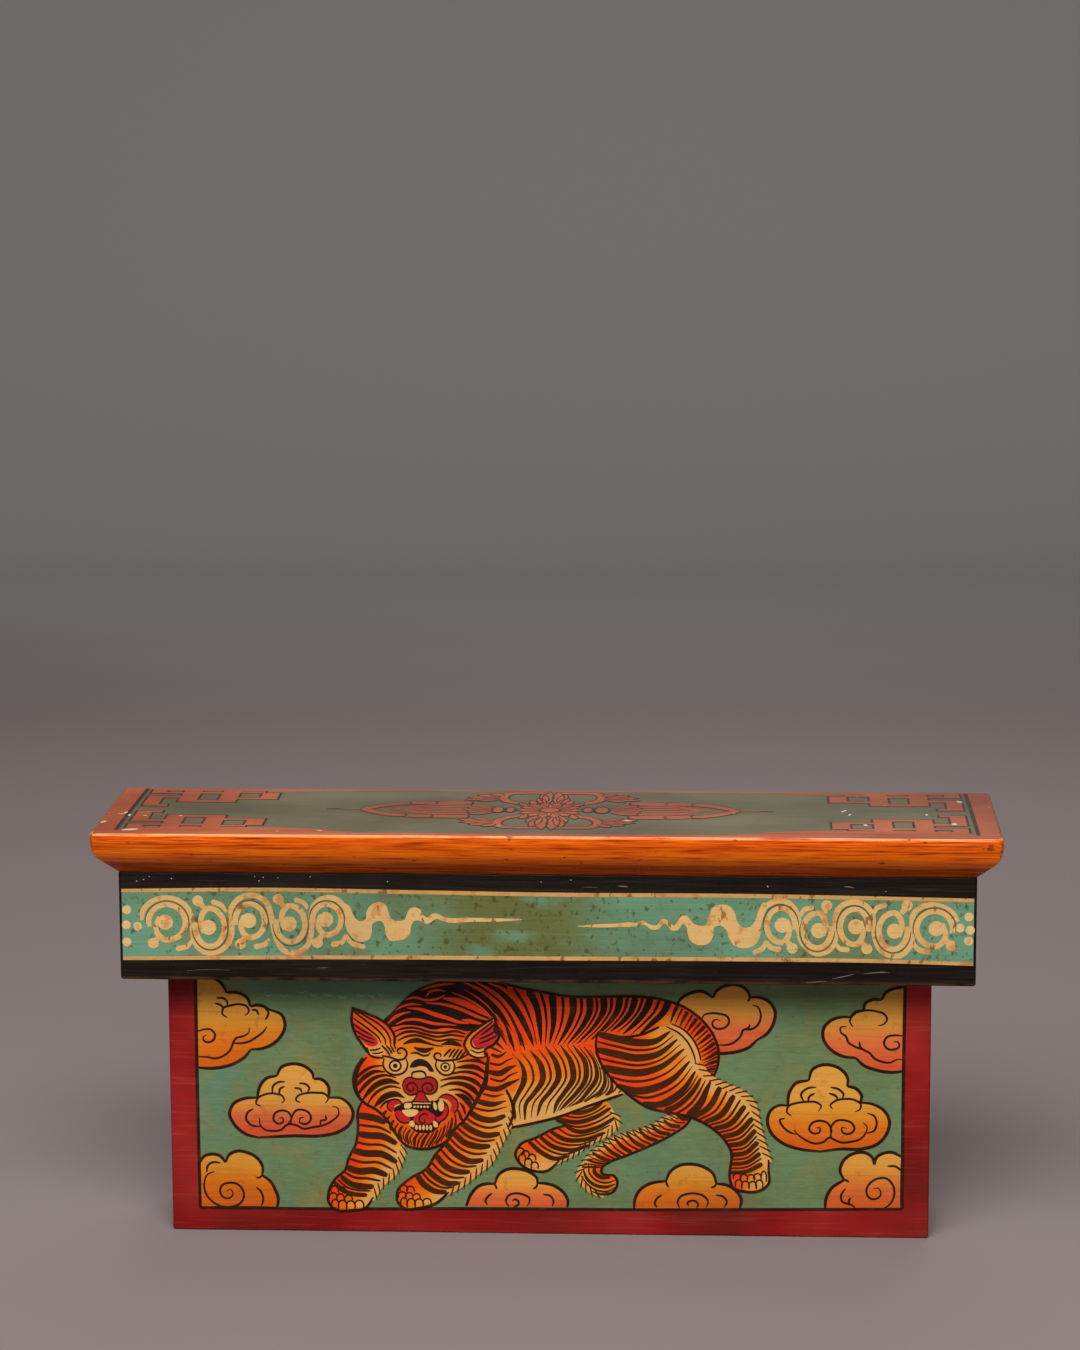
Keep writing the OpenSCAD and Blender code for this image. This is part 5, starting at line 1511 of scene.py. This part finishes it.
RIGHT_WAVE = [
    (22.5, 236.6), (39, 238.3), (52, 239), (58, 239.8), (65, 239.5), (68.5, 241), (72.5, 239), (78.5, 237.7),
    (83, 242.5), (86, 241.5), (91, 237.7), (94.5, 242.5), (97.5, 245), (100.5, 244.4), (103, 241),
    (107.5, 238), (113, 238), (115.5, 244.5), (118, 250.5), (123.5, 253), (130, 252), (133.5, 248),
    (135.5, 241), (139.5, 236.7), (145, 237.4), (148.5, 242.3), (150.5, 249), (154.5, 254.8), (157, 252),
    (155, 247), (152.5, 238), (151, 228.5), (147.5, 223.5), (139.5, 221.5), (133, 224), (129.5, 229.7),
    (127.5, 235), (123, 238), (119.5, 236.5), (118.5, 230), (115.5, 225), (108.5, 223.5), (102.5, 227),
    (100.5, 232.5), (100, 236.4), (97.5, 239), (94, 234.7), (90, 233.8), (84.5, 239), (79, 234.7),
    (75, 234.7), (69.7, 238), (65.5, 237), (52, 236.3), (39, 235.8),
]

# Curls inside the band: place, reach across and up, and -1 where one hangs upside down
LEFT_CURLS = [
    (-269.8, 237.2, 13.2, 13, 1), (-239.2, 233.6, 10.4, 13.9, -1), (-210.4, 238.8, 10.5, 12.3, 1),
    (-181.5, 236.6, 10.3, 13.2, -1), (-155.5, 240.1, 10.1, 11.2, 1),
]
RIGHT_CURLS = [
    (274.5, 236.8, 12.6, 12.7, 1), (245.4, 234.8, 10, 13.2, -1), (218.1, 237.8, 10, 12.8, 1),
    (192, 234.8, 9.8, 12.6, -1), (166.4, 238.5, 10, 12.4, 1),
]
# Leaves that grow from the band's turns
LEAVES = [
    [(-252, 224, 2.2), (-256, 219.5, 3.6), (-262, 218, 4)],
    [(-227, 245, 2.2), (-231, 250, 3.6), (-236, 252, 4)],
    [(-197, 226, 2.2), (-200, 221.5, 3.6), (-206, 220, 4)],
    [(-169, 247.5, 2.2), (-172, 252, 3.4), (-177, 254, 3.6)],
    [(-142, 229, 2.2), (-145, 223.5, 3.6), (-151, 222, 4)],
    [(-142, 229, 2.2), (-138, 223, 3.6), (-130, 220.5, 3.6)],
    [(156, 227, 2.2), (153.5, 221.5, 3.6), (148, 218.8, 3.4)],
    [(156, 227, 2.2), (159, 222.5, 3.6), (165, 220.8, 4)],
    [(205, 226, 2.2), (208, 222, 3.6), (213, 221.2, 4)],
    [(180, 245, 2.2), (183, 250, 3.6), (188, 251.2, 3.4)],
    [(231, 246, 2.2), (234, 251.5, 3.6), (239, 253.5, 3.6)],
    [(259, 228, 2.2), (263, 222, 3.6), (269.5, 220, 4)],
]
# Buds on the outside of the curls: place and the point of the curl that each hangs from
BUDS = [
    (-280, 221.8, -275, 227), (-247.5, 253, -243, 248), (-217.5, 221.6, -214, 227), (-190, 254.5, -186, 249),
    (-162.5, 223, -159, 229), (286.5, 224.5, 281, 230), (255, 253.5, 251, 247.5), (227, 221.8, 223, 227),
    (198.5, 253, 197, 247), (174.5, 221.8, 171, 227),
]
DOTS = [
    (-298.5, 246), (-299, 235), (-299, 222.5), (-291, 234), (298.5, 245.5), (292.5, 237.5), (299.5, 236),
    (298.5, 228),
]
# Scratches through the black to the ground coat
SCRATCHES = [
    [(210, 266.8, 0.3), (214, 266.6, 1.0), (218, 265.8, 0.3)],
    [(51, 266, 0.3), (55, 265.8, 1.0), (59, 265.4, 0.3)],
    [(26, 265, 0.15), (31, 265, 0.3), (37, 264.8, 0.15)],
    [(185, 196.9, 0.15), (192, 197.6, 0.3), (199, 198, 0.15)],
    [(203, 199.8, 0.15), (211, 201.6, 0.35), (218, 203.4, 0.15)],
    [(225, 203.7, 0.15), (233, 204.6, 0.35), (243, 204.8, 0.15)],
    [(-256, 201.7, 0.1), (-240, 202.8, 0.2), (-226, 202.3, 0.1)],
]
SPECKS = [
    (-206.5, 271), (-200.5, 270.4), (-203.5, 267.8), (-190, 270.2), (-167, 271), (-286, 268.2),
    (-282, 270.4), (-291, 267), (-266, 269), (-3, 268.4), (18, 270), (157, 266.4), (240, 263.4), (-112, 268),
]


def curl(brush, gaps, x, z, across, up, flip, hand):
    """One curl: a ring that draws in after its lowest point and winds into a bud, and the gap round it."""
    ring = []
    gap = []
    for step in range(29):
        angle = 195 - 410 * step / 28
        size = 1 - 0.49 * min(1, max(0, -100 - angle) / 85)
        turn = math.radians(angle)
        out, rise = hand * math.cos(turn), flip * math.sin(turn)
        ring.append((x + across * size * out, z + up * size * rise, 4.1 - 0.01 * max(0, -120 - angle)))
        if -25 < angle < 190:
            gap.append((x + (across + 2.5) * out, z + (up + 2.5) * rise))
    brush.line(ring, 4.1, 0.8, 1.0, reach=0.1)
    gaps.line(gap, 1.2, 0.3, 0.3)


def scroll(face, name, bands, waves, curls, leaves, buds, dots):
    """Cream scroll work of a frieze face."""
    brush = Strokes(face, 0.2)
    gaps = Strokes(face, 0.26)
    rounds = Coats(face)
    for band in bands:
        brush.line(band, 4, 0.7, 1.0, reach=0.03)
    for wave in waves:
        rounds.coat(smooth(wave, closed=True), 0.25, 0.55)
    for hand, group in curls:
        for x, z, across, up, flip in group:
            curl(brush, gaps, x, z, across, up, flip, hand)
            rounds.disc(x - hand * 0.1 * across, z, 5.5, 0.26, shade=0.6)
    for leaf in leaves:
        brush.line(leaf, 4, 1.0, 0.9)
        rounds.disc(leaf[-1][0], leaf[-1][1], leaf[-1][2] / 2, 0.25)
    for x, z, from_x, from_z in buds:
        stalk = [(from_x, from_z, 3.4), ((x + from_x) / 2, (z + from_z) / 2, 4.2), (x, z, 5.4)]
        brush.line(stalk, 4, 0.9, 1.0)
        rounds.disc(x, z, 3.9, 0.26, shade=0.55)
    for x, z in dots:
        rounds.disc(x, z, 3.2, 0.26, shade=0.75)
    brush.build(name + "_scroll", CREAM)
    rounds.build(name + "_buds", CREAM)
    gaps.build(name + "_gap_lines", SCROLL_LINE)


def frieze_ground(face, name, lower, upper):
    """The teal band between its two cream lines."""
    field = Coats(face)
    field.coat(smooth(lower, gap=8) + smooth(upper, gap=8)[::-1], FIELD_COAT)
    field.build(name + "_field", FRIEZE_TEAL)
    lines = Strokes(face, 0.18)
    for line in (lower, upper):
        lines.line(line, 2.9, 0.9, 0.9, shade=0.3)
    lines.build(name + "_lines", CREAM)


def frieze_front_paint():
    """Ground and scrolls of the front, with scratches and specks in the black."""
    frieze_ground(FRIEZE, "frieze_front", LOWER_LINE, UPPER_LINE)
    scroll(FRIEZE, "frieze_front", [LEFT_BAND, RIGHT_BAND], [LEFT_WAVE, RIGHT_WAVE],
           [(1, LEFT_CURLS), (-1, RIGHT_CURLS)], LEAVES, BUDS, DOTS)
    bare = Strokes(FRIEZE, 0.06)
    for line in SCRATCHES:
        bare.line(line, 0.6, 0.5, 0.5)
    bare.build("frieze_front_scratches", SCUFFED)
    specks = Coats(FRIEZE)
    for k, (x, z) in enumerate(SPECKS):
        specks.disc(x, z, 0.35 + 0.12 * (k % 3), 0.06, 0.3 + 0.1 * (k % 2), turn=40 * k, sides=7)
    specks.build("frieze_front_specks", GROUND_WHITE)


def frieze_side_paint(name, face, low, high):
    """A short run of the same scroll on an end of the frieze."""
    middle = (low + high) / 2
    lower, upper = [[(low + 1.5, z), (middle, z + 0.6), (high - 1.5, z)] for z in (212, 260)]
    frieze_ground(face, name, lower, upper)
    shift = middle - LEFT_CURLS[2][0]

    def moved(points):
        return [(p[0] + shift, *p[1:]) for p in points]

    buds = [(x + shift, z, from_x + shift, from_z) for x, z, from_x, from_z in BUDS[1:4]]
    dots = [(x, z) for x in (low + 5, high - 5) for z in (246, 235, 223)]
    scroll(face, name, [moved(LEFT_BAND[4:31])], [], [(1, moved(LEFT_CURLS[1:4]))],
           [moved(leaf) for leaf in LEAVES[:4]], buds, dots)


def side_panel_paint(name, hand, face, low, high):
    """Green field with a black edge line and two clouds on a side of the body."""
    left, right = low + 11, high - 11
    corners = [(left, 18), (right, 18), (right, 190), (left, 190)]
    field = Coats(face)
    field.coat(corners, FIELD_COAT)
    field.build(name + "_field", PANEL_GREEN)
    edge = Strokes(face, EDGE_LINE)
    for first, last in zip(corners, corners[1:] + corners[:1]):
        edge.line([first, last], 2.3, 0.9, 0.9)
    edge.build(name + "_edge_line", INK)
    middle = (low + high) / 2
    for number, height, turn in ((1, 62, -hand), (2, 132, hand)):
        def halved(points):
            return [(middle + turn * 0.5 * (p[0] + 186.5), height + 0.5 * (p[1] - 98)) for p in points]
        clouds(face, [CLOUDS[1]], "%s_cloud_%d" % (name, number), halved)


def end_face(node, hand, slot):
    """The outer face of a board at an end of the table, and how far the board reaches across it."""
    low, high = box_mm(node)
    face = Face((high.x if hand > 0 else low.x, 0, 0), (0, hand, 0), UP, slot)
    return face, *sorted((hand * low.y, hand * high.y))


frieze_front_paint()
for name, hand in (("frieze_left", -1), ("frieze_right", 1)):
    frieze_side_paint(name, *end_face(name, hand, "frieze_paint"))
for name, hand in (("side_panel_left", -1), ("side_panel_right", 1)):
    side_panel_paint(name, hand, *end_face(name, hand, "panel_paint"))

# Top

# Middle of the frets and of the medallion, from front to back
FIELD_MIDDLE = 8
MEDALLION_MIDDLE = 9.5
# The fret of the front left corner as bars: left, right, front, back
FRET = [
    (-298, -287, -36, -1), (-288, -280, -6, 0), (-288, -273, -36, -29.5), (-274, -261, -59, -15),
    (-262, -244, -22, -15), (-245, -232, -59, -15), (-262, -244, -50.5, -44.5), (-233, -202.5, -31, -26),
    (-215, -202.5, -48, -27), (-233, -214, -53, -48), (-298, -287, -58, -44.5), (-288, -273, -49.5, -44.5),
]
FRET_FOOT = [(-298, -64), (-298, -56), (-232, -54.5), (-186, -55), (-172, -58), (-158, -61), (-150, -64)]
# One quarter of the medallion, back left: its tuft of petals, the loop beside it, and half the pod with
# the marks across it
TUFT = [
    (-39, 48, -54, 38.5, 7.5), (-38, 51, -64.5, 43.5, 9), (-37, 57, -46, 67, 8), (-38, 55, -56, 61, 9),
    (-38, 53, -63, 52.5, 9),
]
LOOP = [
    (-5, 69.5, 5), (-20, 70, 6), (-31.5, 67, 6.4), (-36, 58, 6.6), (-35.6, 47, 6.6), (-31, 38, 6.4),
    (-22, 31, 6), (-13, 25, 5),
]
PRONG = [
    [(-58, 33, 8), (-66, 33.4, 9.4), (-76, 33.2, 10), (-86, 32.2, 8.6)],
    [(-83, 32.2, 8.6), (-93, 32.4, 9.6), (-105, 30, 8.2)],
    [(-102, 30.5, 8.4), (-113, 28.2, 8.8), (-122, 22.5, 8.4), (-129.5, 15.5, 7.6), (-135, 9.5, 6)],
]
PRONG_MARKS = [
    [(-58.5, 28.5), (-57, 33), (-58.5, 37.6)], [(-85, 27.6), (-83, 32.2), (-85, 37)],
    [(-104, 26), (-102, 30.5), (-104.5, 34.6)],
]
# Streaks of the leaf inside each pod, as distances from its middle
SPIKE = [-15, -9, -3, 3, 9, 15]
# Petals of the medallion: foot, tip and width
PETALS = [
    (-11.5, 26, -15, 43, 5.4), (11.5, 26, 15, 43, 5.4), (-17, 22, -24, 34, 5), (17, 22, 24, 34, 5),
    (-5, 30, -10.5, 52, 6.4), (5.6, 30, 12, 51, 6.4), (-4.4, 36, -8, 67, 6.6), (5, 36, 9.6, 66, 6.6),
    (-4, 30, -2.8, 75, 8), (4.6, 30, 3.8, 74, 8), (-16, -7, -20, -22, 6), (16, -7, 20, -22, 6),
    (-7, -11, -15, -33, 7.4), (7, -11, 13.6, -34, 7.4), (-6, -16, -11.4, -49, 8), (6, -16, 10.8, -50, 8),
    (-5, -11, -3.2, -58, 9), (5, -11, 3.6, -59, 9),
]
# Fans at the mouths of the pods: foot, then reach along the table
FANS = [(-42, -21), (45, 25)]
FAN_SPREAD = [-16, 16, -8.5, 8.5, 0]
# Rounds along the middle: place, reach along and across the table
BEADS = [(-37.5, 9.5, 4.4, 10), (-28.6, 9.5, 3.6, 8.6), (37.6, 10, 5.4, 11), (27.4, 10, 4, 9)]
# Chips through the paint: place, reach along and across the table
CHIPS = [
    (-317, -40, 1.2, 3), (-306, -8, 1, 2.4), (-302, -17, 1, 2.6), (-294, -65, 6, 1.4), (297, 47, 2, 3),
    (212, 12, 0.9, 4), (216, 0, 0.8, 3), (271, 1, 0.9, 2.6), (289, -30, 2, 2.4), (226, -35, 1.4, 2),
]


def box_path(left, right, front, back, grow=0.0):
    """Corners of a bar, grown on all sides."""
    left, right, front, back = left - grow, right + grow, front - grow, back + grow
    return [(left, front), (right, front), (right, back), (left, back)]


def mirrored(points, hand, back):
    """Points of the front left corner, carried to another corner of the top."""
    return [(-hand * x, min(2 * FIELD_MIDDLE - y, 76.5) if back else y) for x, y in points]


def quarter(points, hand, back):
    """Points of the medallion's back left quarter, carried to another quarter."""
    return [(-hand * p[0], p[1] if back else 2 * MEDALLION_MIDDLE - p[1], *p[2:]) for p in points]


def oval(x, y, across, up):
    """Points round an oval."""
    turns = [math.radians(30 * d) for d in range(12)]
    return [(x + across * math.cos(a), y + up * math.sin(a)) for a in turns]


def petal(rust, ray, foot, tip, width, height, line_width):
    """A rust petal with a dark line along each side."""
    foot, tip = Vector(foot), Vector(tip)
    side = Vector((tip.y - foot.y, foot.x - tip.x)).normalized() * width / 2
    edges = [[foot + out * 0.4, foot.lerp(tip, 0.35) + out, foot.lerp(tip, 0.75) + out * 0.8, tip]
             for out in (side, -side)]
    rust.coat(smooth(edges[0]) + smooth(edges[1])[-2::-1], height)
    for line in edges:
        ray.line(line, line_width, 0.5, 0.6)


def top_paint():
    """Green field in a rust border, with a fret in each corner and a medallion of petals and leaves."""
    green = Coats(TOP)
    green.coat([(-303, -63.5), (-158, -63.5), (-128, -69.5), (128, -69.5), (158, -63.5), (303, -63.5),
                (303, 75.5), (-303, 75.5)], FIELD_COAT)
    edge = Strokes(TOP, EDGE_LINE)
    for hand in (-1, 1):
        edge.line([(hand * 304, -66), (hand * 303.6, 10), (hand * 303, 78)], 3, 0.9, 0.9)
    shade = Coats(TOP)
    rust = Coats(TOP)
    for hand in (1, -1):
        for back in (False, True):
            for k, bar in enumerate(FRET):
                shade.coat(mirrored(box_path(*bar, 1.7), hand, back), 0.14 + 0.002 * k)
                rust.coat(mirrored(box_path(*bar), hand, back), 0.22 + 0.003 * k)
            rust.coat(mirrored(FRET_FOOT, hand, back), 0.20)
    ribs = Strokes(TOP, 0.26)
    outline = Strokes(TOP, 0.20)
    ray = Strokes(TOP, 0.36)
    petals = []
    for hand in (1, -1):
        for back in (True, False):
            for foot_x, foot_y, tip_x, tip_y, width in TUFT:
                foot, tip = quarter([(foot_x, foot_y), (tip_x, tip_y)], hand, back)
                petals.append((*foot, *tip, width))
            for band in [LOOP] + PRONG:
                outline.line(quarter([(x, y, wide + 2.8) for x, y, wide in band], hand, back), 1, 1, 1)
                ribs.line(quarter(band, hand, back), 1, 1, 1)
            for mark in PRONG_MARKS:
                ray.line(quarter(mark, hand, back), 1.3, 0.6, 0.6)
        for away in SPIKE:
            tip = (hand * (120 - abs(away)), 9.7 + 0.4 * away)
            ribs.line([(hand * 60, 10 + away), (hand * 88, 10 + away), tip], 3.6, 0.9, 0.3)
        outline.line([(hand * 133, 9.5), (hand * 146, 9.8), (hand * 162, 9.5)], 2.4, 1, 0.2)
        ribs.line([(hand * 133, 9.5), (hand * 142, 9.7), (hand * 152, 9.6)], 2.0, 1, 0.2)
    for foot, reach in FANS:
        for away in FAN_SPREAD:
            tip = (foot + reach * (1 - abs(away) / 70), MEDALLION_MIDDLE + away)
            petals.append((foot, MEDALLION_MIDDLE + 0.45 * away, *tip, 9.6))
    for x, y, across, up in BEADS:
        rust.disc(x, y, across, 0.30, up)
        ray.line(oval(x, y, across, up), 1.8, closed=True)
    hub = []
    for k in range(14):
        x, y = math.cos(math.pi * k / 7), math.sin(math.pi * k / 7)
        hub.append((6 * x, 9 + 7 * y, 24.5 * x, 9 + 27 * y, 9.4))
    for k, (foot_x, foot_y, tip_x, tip_y, width) in enumerate(hub + PETALS + petals):
        line_width = 0.8 if k < len(hub) else 1.0
        petal(rust, ray, (foot_x, foot_y), (tip_x, tip_y), width, 0.28 + 0.001 * k, line_width)
    rust.disc(0, 9, 7.5, 0.345)
    ray.line(oval(0, 9, 7.5, 7.5), 1.2, closed=True)
    chips = Coats(TOP)
    for k, (x, y, across, up) in enumerate(CHIPS):
        chips.disc(x, y, across, 0.36, up, turn=15 * (k % 5) - 30, sides=9)
    green.build("top_field", TOP_GREEN)
    shade.build("top_fret_shade", INK)
    rust.build("top_fret", TOP_RUST)
    edge.build("top_lines", INK)
    outline.build("top_medallion_shade", INK)
    ribs.build("top_medallion", TOP_RUST)
    ray.build("top_petal_lines", INK)
    chips.build("top_chips", GROUND_WHITE)


top_paint()


# Studio

def lamp(name, place, target, size, power):
    """A soft square lamp that looks at a target."""
    light = bpy.data.lights.new(name, "AREA")
    light.shape = "RECTANGLE"
    light.size, light.size_y = size
    light.energy = power
    holder = bpy.data.objects.new(name, light)
    holder.location = place
    holder.rotation_euler = (Vector(target) - Vector(place)).to_track_quat("-Z", "Y").to_euler()
    bpy.context.scene.collection.objects.link(holder)


def studio():
    """A pale floor that sweeps up into a backdrop, soft lamps above, and a dim even room."""
    floor = Finish("studio_grey", {"Specular IOR Level": 0.1, "Roughness": 0.9})
    mottle = floor.noise(0.8, 3)
    ground = floor.mix(mottle, paint(130, 118, 116), paint(138, 126, 124))
    # Painted light: the backdrop is painted paler than the floor as it rises, standing in for lamp light it
    # gets less of
    rise = floor.between(floor.axis("Y"), 1.9, 3.6)
    floor.surface({"Base Color": floor.mix(rise, ground, paint(182, 180, 178))})
    shell = bmesh.new()
    rows = []
    for i in range(25):
        angle = math.pi / 2 * i / 24
        rows.append((3.2 + 1.4 * math.sin(angle), 1.4 - 1.4 * math.cos(angle)))
    rows = [(-6.0, 0.0)] + rows + [(4.6, 6.0)]
    lines = [[shell.verts.new((x, y, z)) for x in (-9, 9)] for y, z in rows]
    for low, high in zip(lines, lines[1:]):
        shell.faces.new((low[0], low[1], high[1], high[0]))
    mesh = bpy.data.meshes.new("studio_sweep")
    shell.to_mesh(mesh)
    shell.free()
    mesh.polygons.foreach_set("use_smooth", [True] * len(mesh.polygons))
    mesh.materials.append(floor.material)
    sweep = bpy.data.objects.new("studio_sweep", mesh)
    bpy.context.scene.collection.objects.link(sweep)
    lamp("soft_key", (-0.35, -1.75, 2.15), (0, 0, 0.15), (1.8, 1.7), 67)
    lamp("soft_front", (0.5, -2.2, 2.7), (0, 0, 0.15), (2.0, 0.9), 37)
    lamp("soft_back", (0.3, 1.7, 1.9), (0, 0, 0.2), (1.6, 1.0), 18)
    world = bpy.data.worlds.new("room")
    bpy.context.scene.world = world
    world.use_nodes = True
    room = world.node_tree.nodes["Background"].inputs
    room["Color"].default_value = (1, 1, 1, 1)
    room["Strength"].default_value = 0.15


def camera():
    """The photograph's view: a long lens a little to the right and above, turned left and down."""
    yaw, pitch, roll = [math.radians(a) for a in (2.98, 9.93, 0.25)]
    forward = Vector((-math.sin(yaw) * math.cos(pitch), math.cos(yaw) * math.cos(pitch), -math.sin(pitch)))
    right = Vector((math.cos(yaw), math.sin(yaw), 0))
    down = forward.cross(right)
    side = math.cos(roll) * right + math.sin(roll) * down
    drop = math.cos(roll) * down - math.sin(roll) * right
    lens = bpy.data.cameras.new("camera")
    lens.lens = 102
    lens.sensor_width = 36
    holder = bpy.data.objects.new("camera", lens)
    turn = Matrix((side, -drop, -forward)).transposed().to_4x4()
    holder.matrix_world = Matrix.Translation((0.134, -2.695, 0.879)) @ turn
    bpy.context.scene.collection.objects.link(holder)
    bpy.context.scene.camera = holder


studio()
camera()
bpy.context.scene.view_settings.view_transform = "Standard"
